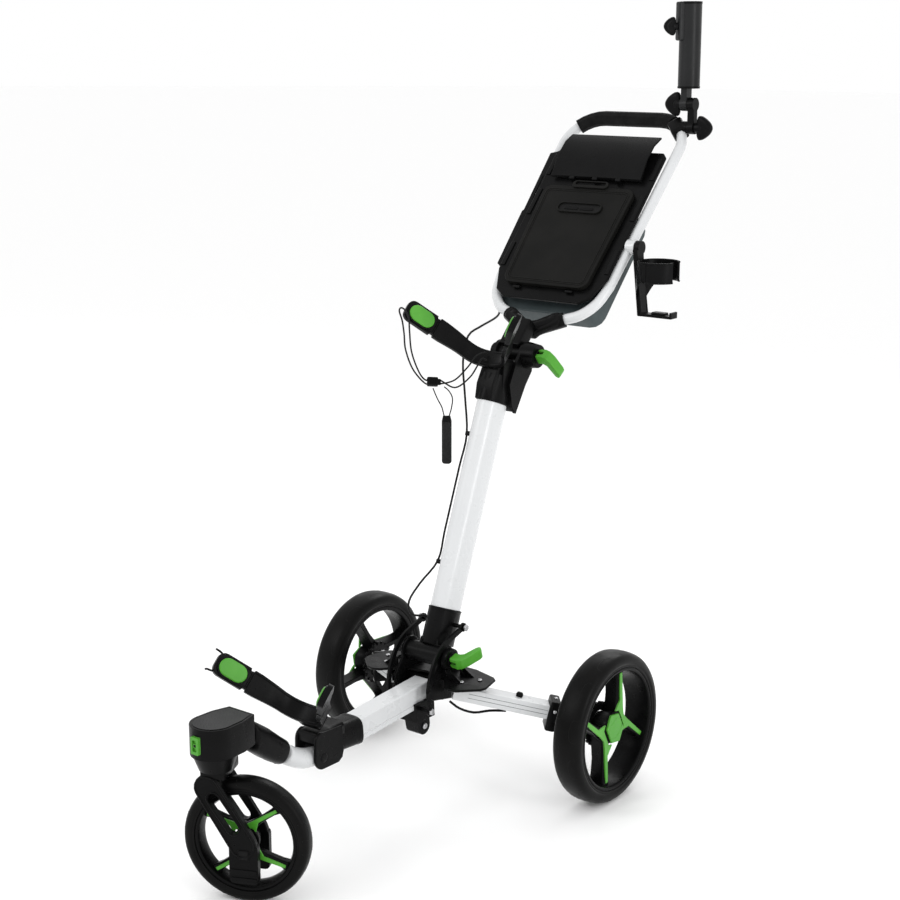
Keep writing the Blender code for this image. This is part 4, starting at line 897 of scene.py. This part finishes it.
def along(line, distance):
    """The point at a distance along a line, and the line's heading there."""
    for a, b in zip(line, line[1:]):
        step = (b - a).length
        if distance <= step:
            return a + (b - a) * distance / step, (b - a).normalized()
        distance -= step
    return line[-1], (line[-1] - line[-2]).normalized()


def bracket_strap(prefix, where, root_size, root_at, body):
    """The V-shaped strap: a shallow channel between two tip plates with rounded corners."""
    half = [Vector((x, y, 0)) for x, y in bracket_line()]
    line = smooth_line([Vector((-p.x, p.y, 0)) for p in reversed(half[1:])] + half, 6)
    whole = length_of(line)
    near = [0.0, 0.0008, 0.0025, 0.005, 0.0085, 0.014, 0.040]
    near += [NOTCH_AT + step for step in (-0.0042, -0.0030, 0.0030, 0.0042)]
    middle = [TIP_LENGTH + (whole - 2 * TIP_LENGTH) * n / 24 for n in range(25)]
    stations = near + middle + [whole - distance for distance in reversed(near)]
    corner = 0.014
    sections = []
    for distance in stations:
        point, heading = along(line, distance)
        square = Vector((-heading.y, heading.x, 0))
        left = min(distance, whole - distance)
        tall = 0.0215 - 0.0040 * min(1.0, max(0.0, (left - 0.085) / 0.050))
        if abs(left - NOTCH_AT) < 0.0035:
            tall = 0.0172
        if left < corner:
            tall += (corner**2 - (corner - left) ** 2) ** 0.5 - corner
        thick = 0.0045 if left < NOTCH_AT else 0.0036
        dip = 0.0009 if left > corner else 0.0
        edge = min(0.004, 0.4 * tall)
        ring = [(thick, -tall), (thick, edge - tall), (thick - dip, 1.3 * edge - tall)]
        ring += [(thick - dip, tall - 1.3 * edge), (thick, tall - edge), (thick, tall)]
        ring += [(-thick, tall), (-thick, -tall)]
        sections.append([point + square * u + Vector((0, 0, z)) for u, z in ring])
    pieces = [loft("strap", sections, where, 0.0007)]
    pieces.append(block("root", root_size, root_at, where, rounding=0.0035))
    strap = settle(merge(prefix + "_strap", pieces), BLACK, body)
    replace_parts(strap, prefix + "_bag_bracket")


def bracket_details(prefix, where, body):
    """Rounded pads in raised seats on both tip plates, and the notches beside the strap as lines of
    painted shade.
    """
    half = [Vector(p) for p in bracket_line()]
    heading = (half[-1] - half[-2]).normalized()
    middle = half[-1] - heading * 0.034
    pieces, grooves = [], []
    for side, label in ((1, "left"), (-1, "right")):
        ahead = Vector((side * heading.x, heading.y, 0))
        inward = Vector((side * -heading.y, heading.x, 0))
        at = Vector((side * middle.x, middle.y, 0)) + inward * 0.0045
        axes = Matrix((ahead, ahead.cross(inward) * -1, inward)).transposed().to_4x4()
        spot = where @ Matrix.Translation(at) @ axes
        seat = [long_hole(0.0105, r) for r in (0.0192, 0.0166)]
        pieces.append(plate("seat", seat[0], -0.001, 0.0034, spot, 0.0009, [seat[1]]))
        pad = long_hole(0.0105, 0.0162)
        node = f"{prefix}_bag_pad_{label}"
        cushion = plate(node + "_top", pad, 0.0002, 0.0062, spot, 0.0024)
        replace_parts(settle(cushion, GREEN, body), node)
        # The notches are drawn as raised dark lines: painted shade in the notches
        for step in (0.0, 0.0034):
            groove = [(-0.0335 - step, y, 0.0003) for y in (-0.0176, -0.008, 0.008, 0.0176)]
            grooves.append([spot @ Vector(point) for point in groove])
    settle(merge(prefix + "_pad_seats", pieces), BLACK, body)
    settle(wire(prefix + "_strap_notch_shade", grooves, 0.0008, None, 2), RECESS_SHADE, body)


def tip_hooks():
    """Two small cord hooks on the lower bracket's far tip."""
    lines = []
    for z in (-0.019, 0.019):
        hook = [(-0.1225, 0.1330, 0.75 * z), (-0.1275, 0.1405, 0.95 * z), (-0.1325, 0.1455, z)]
        hook.append((-0.1370, 0.1450, 1.05 * z))
        lines.append(smooth_line([LOWER_BRACKET @ Vector(p) for p in hook], 4))
    settle(wire("lower_tip_hooks", lines, 0.0019), BLACK, "base")


# Folding joint
def screw(name, at, axis, where=AXLE, radius=0.0042, height=0.0030):
    """A pan-head screw, standing on a face."""
    profile = [(0.0, 0.0), (0.0, radius), (0.45 * height, radius), (0.85 * height, 0.75 * radius)]
    profile += [(height, 0.35 * radius), (height, 0.0)]
    return turned(name, profile, axis, where, at, 28)


def joint_details():
    """Toothed rings on the pivots, ribs, screws and the small parts round the folding joint."""
    for body, y, z, x, name in (
        ("base", FOLD_Y, FOLD_Z, 0.0565, "lower"),
        ("main", UPPER_Y, UPPER_Z, 0.0560, "upper"),
    ):
        teeth = []
        for n in range(30):
            turn = 2 * pi * n / 30
            at = (x, y + 0.0180 * cos(turn), z + 0.0180 * sin(turn))
            teeth.append(block("tooth", (0.0020, 0.0048, 0.0018), at, AXLE, (turn, 0, 0)))
        settle(merge(name + "_ring_teeth", teeth), BLACK, body)
        profile = [(0.0, 0.0075), (0.0, 0.0125), (0.0022, 0.0125)]
        profile += [(0.0030, 0.0115), (0.0030, 0.0075)]
        washer = turned(name + "_washer", profile, "X", AXLE, (x + 0.0020, y, z), 40)
        settle(washer, BLACK, body)
    screws = [
        screw("s", (side * x, y, 0.2408), "Z")
        for side in (1, -1)
        for x, y in ((0.091, -0.185), (0.111, -0.156))
    ]
    settle(merge("wing_screws", screws), STEEL, "base")
    struts = []
    for y in (-0.186, -0.150):
        line = [(0.0455, (y + FOLD_Y) / 2, 0.2640), (0.0560, y, 0.2520), (0.0700, y, 0.2410)]
        struts.append([AXLE @ Vector(p) for p in line])
    settle(wire("wing_struts", struts, 0.0028), BLACK, "base")
    for name, (x, y, z), profile, body in (
        ("low", (0.0505, -0.226, 0.186), head(0.0065, 0.0035, 0.0045, 0.0052), "link_slider"),
        ("high", (0.0535, -0.125, 0.323), head(0.0068, 0.0030, 0.0040, 0.0055), "fold_links"),
    ):
        bolts = []
        for side in (-1, 1):
            facing = outward(AXLE @ Matrix.Translation((side * x, y, z)), side)
            bolts.append(turned("bolt", profile, "X", facing, (0, 0, 0), 6, 0.0004))
        settle(merge("link_bolts_" + name, bolts), STEEL, body)
    lobe = [screw("s", (0.0162, -0.203, 0.142), "X", AXLE, 0.0060, 0.0040)]
    settle(merge("clevis_bolt", lobe), STEEL, "link_slider")


def sleeve_details():
    """Collar lips at both sleeves' ends, the webs of the neck, and the cable's clips."""
    where = MAIN @ place(0, MAIN_OFFSET, 0)
    pieces = []
    for low, high in ((0.0860, 0.0893), (0.4916, 0.4950)):
        outer = superellipse(0.0245 + 0.0027, 0.0350 + 0.0027, 2 / 0.92, 48)
        inner = superellipse(0.0245 + 0.0004, 0.0350 + 0.0004, 2 / 0.92, 48)
        pieces.append(plate("lip", outer, low, high, where, 0.0008, [inner]))
    settle(merge("sleeve_lips", pieces), BLACK, "main")
    neck = [(-0.002, 0.735), (0.050, 0.722), (0.062, 0.780)]
    neck += [(0.048, 0.800), (0.022, 0.796), (0.004, 0.765)]
    heel = [(0.026, 0.748), (0.050, 0.712), (0.060, 0.703), (0.090, 0.750), (0.078, 0.782)]
    heel += [(0.060, 0.806), (0.032, 0.806)]
    webs = [plate("web", neck, -0.0200, 0.0200, sideways(AXLE), 0.003)]
    webs.append(plate("web", heel, -0.0262, 0.0262, sideways(AXLE), 0.001))
    settle(merge("neck_webs", webs), BLACK, "main")
    clips = []
    for z in (0.669, 0.436):
        y = FOLD_Y + MAIN_OFFSET / cos(MAIN_LEAN) + (z - FOLD_Z) * sin(MAIN_LEAN) / cos(MAIN_LEAN)
        at = (-0.0212, y - 0.0265, z)
        clips.append(block("clip", (0.0085, 0.0095, 0.009), at, AXLE, (-MAIN_LEAN, 0, 0), 0.0015))
    settle(merge("cable_clips", clips), BLACK, "main")


# Rear arms
def arm_details():
    """The bumper knob, bracket screws and the groove lines along both arms, drawn in painted shade.
    """
    for side, label in ((1, "left"), (-1, "right")):
        sweep = Matrix.Rotation(side * radians(40.5), 4, "Z")
        root = AXLE @ Matrix.Translation((side * 0.075, -0.168, 0.2143)) @ sweep
        where = outward(root, side) @ Matrix.Rotation(radians(13.6), 4, "Y")
        body = label + "_arm"
        knob = [(0.0, 0.0), (0.0, 0.0060), (0.0045, 0.0070), (0.0080, 0.0055), (0.0092, 0.0)]
        piece = turned(label + "_bumper", knob, "Z", where, (0.110, 0.0, 0.0138), 32)
        settle(piece, BLACK, body)
        # The grooves are drawn as thin grey lines: painted shade where each groove is shaded on the
        # white tube
        grooves = []
        for face in (-1, 1):
            for z in (-0.0035, 0.0045):
                y = face * 0.01802
                grooves.append([(0.014, y, z), (0.060, y, z), (0.110, y, z), (0.166, y, z)])
        settle(wire(label + "_arm_groove_shade", grooves, 0.0004, where, 2), SLATE, body)
        screws = [screw("s", (0.1790, 0.0, 0.0246), "Z", where, 0.0038, 0.0026)]
        for face in (-1, 1):
            flip = outward(where @ Matrix.Translation((0.1790, face * 0.0218, 0.006)), face)
            screws.append(screw("s", (0, 0, 0), "Y", flip, 0.0034, 0.0022))
        settle(merge(label + "_bracket_screws", screws), STEEL, body)


def tunnel(name, stations, power, rounding=0.0):
    """A loft along the trolley's YZ plane; a station is (y, z, half width, half height, slope)."""
    sections = []
    for y, z, wide, tall, slope in stations:
        up = Vector((0, sin(slope), cos(slope)))
        middle = Vector((0, y, z))
        sections.append([
            middle + Vector((x, 0, 0)) + up * h for x, h in superellipse(wide, tall, power)
        ])
    return loft(name, sections, AXLE, rounding)


def front_sleeve():
    """The round sleeve that swells from the curved tube into the caster's head."""
    rough = [(-0.5800, 0.2135, 0.0208, 0.0205, 0.52), (-0.5830, 0.2158, 0.0222, 0.0220, 0.52)]
    rough += [(-0.6000, 0.2275, 0.0230, 0.0235, 0.50), (-0.6250, 0.2470, 0.0235, 0.0255, 0.40)]
    rough += [(-0.6480, 0.2640, 0.0236, 0.0262, 0.22), (-0.6700, 0.2790, 0.0236, 0.0245, 0.0)]
    piece = settle(tunnel("sleeve_shell", rough, 2.5), BLACK, "front_arm")
    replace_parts(piece, "front_sleeve")
    ridge = [(0, -0.588, 0.2390), (0, -0.612, 0.2612), (0, -0.640, 0.2835), (0, -0.668, 0.3000)]
    ridge = [AXLE @ point for point in smooth_line(ridge, 5)]
    settle(wire("sleeve_ridge", [ridge], 0.0020), BLACK, "front_arm")
    studs = []
    for y, z in ((-0.598, 0.2075), (-0.622, 0.2235)):
        shape = head(0.0034, -0.0060, -0.0075, 0.0024)
        studs.append(turned("stud", shape, "Z", AXLE, (0.006, y, z), 20))
    settle(merge("sleeve_screws", studs), BLACK, "front_arm")


def front_joint():
    """The collar round the front tube and the two ears that carry the front arm's pin."""
    slope = -radians(3.8)
    collar = [(-0.3905, 0.1945, 0.0262, 0.0268, slope), (-0.3920, 0.1946, 0.0268, 0.0274, slope)]
    collar += [(-0.3990, 0.1950, 0.0268, 0.0274, slope), (-0.4005, 0.1950, 0.0262, 0.0268, slope)]
    collar += [(-0.4250, 0.1962, 0.0258, 0.0264, slope), (-0.4500, 0.1975, 0.0252, 0.0262, slope)]
    collar += [(-0.4760, 0.2030, 0.0248, 0.0225, slope)]
    pieces = [tunnel("collar", collar, 3.4)]
    bridge = [(-0.4400, 0.2080, 0.0250, 0.0215, 0.0), (-0.4800, 0.2150, 0.0250, 0.0145, 0.0)]
    bridge += [(-0.5050, 0.2165, 0.0248, 0.0110, 0.0), (-0.5120, 0.2160, 0.0235, 0.0080, 0.0)]
    pieces.append(tunnel("bridge", bridge, 4.5))
    ear = [(-0.4460, 0.2250), (-0.4960, 0.2270), *arc((-0.4985, 0.2110), 0.0175, 95, 180, 6)]
    ear += arc((-0.4955, 0.1795), 0.0210, 182, 262, 8)
    ear += [(-0.4560, 0.1585), (-0.4460, 0.1650), (-0.4420, 0.1780)]
    for low in (-0.0252, 0.0190):
        pieces.append(plate("ear", ear, low, low + 0.0062, sideways(AXLE), 0.0016))
    for side in (-1, 1):
        facing = outward(AXLE @ Matrix.Translation((side * 0.0243, -0.496, 0.180)), side)
        profile = head(0.0085, 0.0012, 0.0019, 0.0070)
        pieces.append(turned("pin_head", profile, "X", facing, (0, 0, 0), 28))
    pin = [(-0.0240, 0.0), (-0.0240, 0.0045), (0.0240, 0.0045), (0.0240, 0.0)]
    pieces.append(turned("pin", pin, "X", AXLE, (0, -0.496, 0.180), 28))
    piece = settle(merge("front_joint_casting", pieces), BLACK, "base")
    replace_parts(piece, "front_joint")


# Caster
def caster_details():
    """The head's textured insert and rim, the tapered skirt, the button's slot, the leg's edges."""
    top = 0.3180
    outline = arc((0, CASTER_Y - 0.002), 0.0345, 180, 360, 28)
    outline += [(0.0330, -0.702), (0.0250, -0.6745), (-0.0250, -0.6745), (-0.0330, -0.702)]
    insert = plate("head_insert", outline, top - 0.001, top + 0.0007, AXLE, 0.0004)
    settle(insert, INSERT, "front_arm")
    rim_line = [AXLE @ Vector((x, y, top + 0.0001)) for x, y in outline]
    settle(wire("head_rim", [rim_line], 0.0010, None, 3, True), BLACK, "front_arm")
    skirt = [(0.2640, 0.0), (0.2640, 0.0385), (0.2665, 0.0392), (0.2690, 0.0392), (0.2690, 0.0)]
    piece = turned("head_skirt", skirt, "Z", AXLE, (0, CASTER_Y, 0), 72, 0.0006)
    settle(piece, BLACK, "front_arm")
    low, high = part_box("swivel_lock_button")
    middle, deep = (low + high) / 2, high.y - low.y
    facing = Matrix.Translation((middle.x, low.y, middle.z)) @ Matrix.Rotation(pi / 2, 4, "X")
    wide, tall = (high.x - low.x) / 2, (high.z - low.z) / 2
    rim_line = rounded_box(wide, tall, 0.0022)
    recess, step = rounded_box(0.0044, 0.0098, 0.0012), rounded_box(0.0046, 0.0036, 0.0006)
    pieces = [plate("rim", rim_line, -0.004, 0.0, facing, 0.0006, [recess])]
    pieces.append(plate("stem", rim_line, -deep, -0.0035, facing))
    pieces.append(plate("step", step, -0.004, -0.0012, facing, 0.0004))
    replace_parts(settle(merge("button_cap", pieces), GREEN, "swivel_lock"), "swivel_lock_button")
    # The button's slot is painted shade: a darker plate in its recess
    slot = plate("button_slot", rounded_box(0.0024, 0.0022, 0.0006), -0.0020, -0.0009, facing)
    settle(slot, RECESS_SHADE, "swivel_lock")
    rims, wells = [], []
    where = sideways(CASTER)
    for face in (-LEG_FACE, LEG_FACE):
        ring = capsule((-0.010, 0.207), (CASTER_TRAIL + 0.001, 0.112), 0.0205, 0.0210, 18)
        rims.append([where @ Vector((x, y, face)) for x, y in ring])
        slot_ring = capsule((0.000, 0.190), (0.034, 0.140), 0.0112, 0.0112, 12)
        rims.append([where @ Vector((x, y, face)) for x, y in slot_ring])
    settle(wire("leg_rims", rims, 0.0016, None, 3, True), BLACK, "fork")
    for face in (-LEG_FACE, LEG_FACE):
        spot = where @ Matrix.Translation((CASTER_TRAIL + 0.003, 0.0935, face))
        ring = rounded_box(0.0095, 0.0100, 0.0020)
        hole = rounded_box(0.0072, 0.0077, 0.0012)
        wells.append(plate("well", ring, -0.0008, 0.0009, spot, 0.0005, [hole]))
        lip = rounded_box(0.0225, 0.0042, 0.0020)
        for drop in (-0.0290, -0.0435):
            wells.append(plate("lip", lip, -0.0008, 0.0014, spot @ place(0, drop, 0), 0.0006))
    settle(merge("foot_edges", wells), BLACK, "fork")
    # Painted shade: darker plates in the legs' square recesses, where shade falls
    dark = []
    for face in (-0.0358, 0.0358):
        spot = where @ Matrix.Translation((CASTER_TRAIL + 0.003, 0.0935, face))
        dark.append(plate("dark", rounded_box(0.0074, 0.0079, 0.0012), -0.0004, 0.0002, spot))
    settle(merge("foot_wells", dark), RECESS_SHADE, "fork")


# Umbrella and bottle holders, handle
def umbrella_details():
    """The tube's collar lips, and serrated faces between the knuckle's discs."""
    x, y = 0.136, 0.502
    collars = []
    for low, high, radius in ((1.3052, 1.3095, 0.0226), (1.4690, 1.4738, 0.0224)):
        profile = [(low, 0.0195), (low, radius), (high, radius), (high, 0.0195)]
        collars.append(turned("collar", profile, "Z", AXLE, (x, y, 0), 72, 0.0007))
    settle(merge("umbrella_collars", collars), BLACK, "umbrella_tube")
    teeth = []
    for n in range(28):
        turn = 2 * pi * n / 28
        at = (0.1408, 0.498 + 0.0128 * cos(turn), 1.274 + 0.0128 * sin(turn))
        teeth.append(block("tooth", (0.0012, 0.0022, 0.0016), at, AXLE, (turn, 0, 0)))
    settle(merge("knuckle_teeth", teeth), BLACK, "umbrella_knuckle")


def knob(name, at, axes, body, scale=1.0):
    """A three-cornered wing knob, thick in its middle, on a round stem."""
    corners = [(-0.0205, -0.0065), (0.0, -0.0095), (0.0205, -0.0065), (0.0236, 0.0030)]
    corners += [(0.0130, 0.0195), (0.0, 0.0262), (-0.0130, 0.0195), (-0.0236, 0.0030)]
    closed = [Vector((*point, 0)) for point in (corners[-1], *corners, *corners[:2])]
    outline = smooth_line(closed, 6)[6:-7]
    middle = Vector((0, 0.0075, 0))
    sections = []
    upper = [(0.0022, 0.99), (0.0048, 0.90), (0.0064, 0.70), (0.0068, 0.45)]
    for height, spread in [(-height, spread) for height, spread in reversed(upper)] + upper:
        up = Vector((0, 0, height))
        sections.append([middle + (point - middle) * spread + up for point in outline])
    where = Matrix.Translation(at) @ axes @ Matrix.Scale(scale, 4)
    pieces = [loft("wing", sections, where)]
    stem = [(-0.0125, 0.0), (-0.0125, 0.0088), (-0.0115, 0.0098)]
    stem += [(0.0010, 0.0098), (0.0040, 0.0070), (0.0040, 0.0)]
    pieces.append(turned("stem", stem, "Y", where, (0, 0, 0), 32))
    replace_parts(settle(merge(name + "_wing", pieces), BLACK, body), name)


def knobs():
    flat = Matrix.Rotation(pi / 2, 4, "Y")
    rib_turn = radians(-120)
    low, high = Vector((0.150, 0.498, 1.228)), Vector((0.140, 0.498, 1.274))
    at = AXLE @ Vector((0.1690, low.y, low.z))
    knob("umbrella_knob_low", at, Matrix.Rotation(-pi / 2, 4, "Z") @ flat, "umbrella_knob_low")
    at = AXLE @ Vector((0.1120, high.y, high.z))
    knob("umbrella_knob_mid", at, Matrix.Rotation(pi / 2, 4, "Z") @ flat, "umbrella_knob_mid")
    reach = 0.0308 + 0.0097
    out = Vector((cos(rib_turn), sin(rib_turn), 0)) * reach
    at = Vector((high.x - 0.004, high.y + 0.004, 1.4260)) + out
    axes = Matrix.Rotation(rib_turn - pi / 2, 4, "Z") @ flat
    knob("umbrella_knob_top", AXLE @ at, axes, "umbrella_knob_top", 0.75)


def cup_details():
    """The ring's lips, the funnel that runs down from it into the leg, and the leg's edges."""
    where = AXLE @ Matrix.Translation((0.2020, 0.2940, -0.0100))
    sections = []
    for n in range(41):
        angle = radians(95 + 170 * n / 40)
        dip = 0.052 * max(0.0, cos((angle - pi) * 1.06)) ** 3
        ring = [(0.0406, 0.992), (0.0424, 0.991), (0.0424, 0.957 - dip), (0.0406, 0.956 - dip)]
        sections.append([Vector((r * cos(angle), r * sin(angle), z)) for r, z in ring])
    settle(loft("cup_funnel", sections, where, 0.0006), BLACK, "cup_holder")
    turns = [radians(angle) for angle in range(38, 344, 5)]
    lips = [[(0.0402 * cos(a), 0.0402 * sin(a), z) for a in turns] for z in (0.9930, 0.9562)]
    lower = [point for point in lips[1] if point[0] > -0.012]  # the funnel takes up the rest
    half = len(lower) // 2
    lines = [lips[0], lower[:half], lower[half:]]
    settle(wire("cup_lips", lines, 0.0021, where, 3), BLACK, "cup_holder")
    ribs = []
    for y in (0.2785, 0.3015):
        ribs.append([(0.1650, y, 0.952), (0.1705, y, 0.915), (0.1752, y, 0.881)])
    settle(wire("cup_leg_ribs", ribs, 0.0017, AXLE, 3), BLACK, "cup_holder")
    size, at = (0.030, 0.018, 0.006), (0.2100, 0.290, 0.8835)
    step = block("cup_foot_pad", size, at, AXLE, rounding=0.0022)
    settle(step, BLACK, "cup_holder")


def yoke_web():
    """The casting's web between the two feet of the loop."""
    half = [(0.0, -0.0600), (0.014, -0.0560), (0.047, -0.0350), (0.056, -0.0330)]
    half += [(0.066, -0.0500), (0.062, -0.0590), (0.027, -0.0840), (0.022, -0.0930)]
    outline = half + [(-x, y) for x, y in reversed(half[1:])]
    web = plate("web", list(reversed(outline)), -0.0240, -0.0070, CONSOLE, 0.0040)
    bosses = []
    for side in (-1, 1):
        profile = [(-0.0085, 0.0), (-0.0085, 0.0062), (-0.0062, 0.0070), (-0.0062, 0.0)]
        bosses.append(turned("boss", profile, "Z", CONSOLE, (side * 0.046, -0.0470, 0.0), 28))
    settle(merge("yoke_web", [web, *bosses]), BLACK, "handle")


def grip_end():
    """The foam's last stretch, up to the umbrella holder's clamp."""
    line = [(x, y, -0.0225) for x, y in arc((0.066, 0.386), 0.074, 80, 63, 6)]
    settle(wire("grip_end", [line], 0.0154, CONSOLE, 8), FOAM, "handle")


# Studio
def floor_and_light():
    """A pale floor that runs far back, an even white surround and three soft boxes."""
    work = bmesh.new()
    bmesh.ops.create_grid(work, x_segments=1, y_segments=1, size=40)
    floor = from_bmesh("floor", work)
    material, shader = shader_of("floor", (0.985, 0.985, 0.985), 0.9, specular=0.1)
    floor.data.materials.append(material)
    world = bpy.data.worlds.new("surround")
    bpy.context.scene.world = world
    world.use_nodes = True
    background = world.node_tree.nodes["Background"]
    background.inputs["Color"].default_value = (1, 1, 1, 1)
    background.inputs["Strength"].default_value = 1.0

    def soft_box(name, at, toward, size, power):
        data = bpy.data.lights.new(name, "AREA")
        data.shape = "RECTANGLE"
        data.size, data.size_y = size
        data.energy = power
        lamp = bpy.data.objects.new(name, data)
        bpy.context.scene.collection.objects.link(lamp)
        lamp.location = at
        lamp.rotation_euler = (Vector(toward) - Vector(at)).to_track_quat("-Z", "Y").to_euler()

    centre = (0, 0, 0.6)
    soft_box("key", (-1.6, -2.6, 2.8), centre, (1.3, 1.3), 24)
    soft_box("side", (2.9, -0.3, 1.5), centre, (0.8, 2.0), 20)
    soft_box("back", (-0.6, 2.8, 2.6), centre, (2.0, 0.9), 26)
    bpy.context.scene.view_settings.view_transform = "Standard"


wheels()
cad_finishes()
yoke_web()
grip_end()
console_details()
bracket_strap("upper", UPPER_BRACKET, (0.042, 0.014, 0.030), (0, -0.0055, 0.0), "main")
bracket_strap("lower", LOWER_BRACKET, (0.046, 0.020, 0.030), (0, -0.0085, 0.002), "base")
for prefix, bracket, on in (("upper", UPPER_BRACKET, "main"), ("lower", LOWER_BRACKET, "base")):
    bracket_details(prefix, bracket, on)
tip_hooks()
joint_details()
sleeve_details()
arm_details()
front_sleeve()
front_joint()
caster_details()
umbrella_details()
knobs()
cup_details()
floor_and_light()
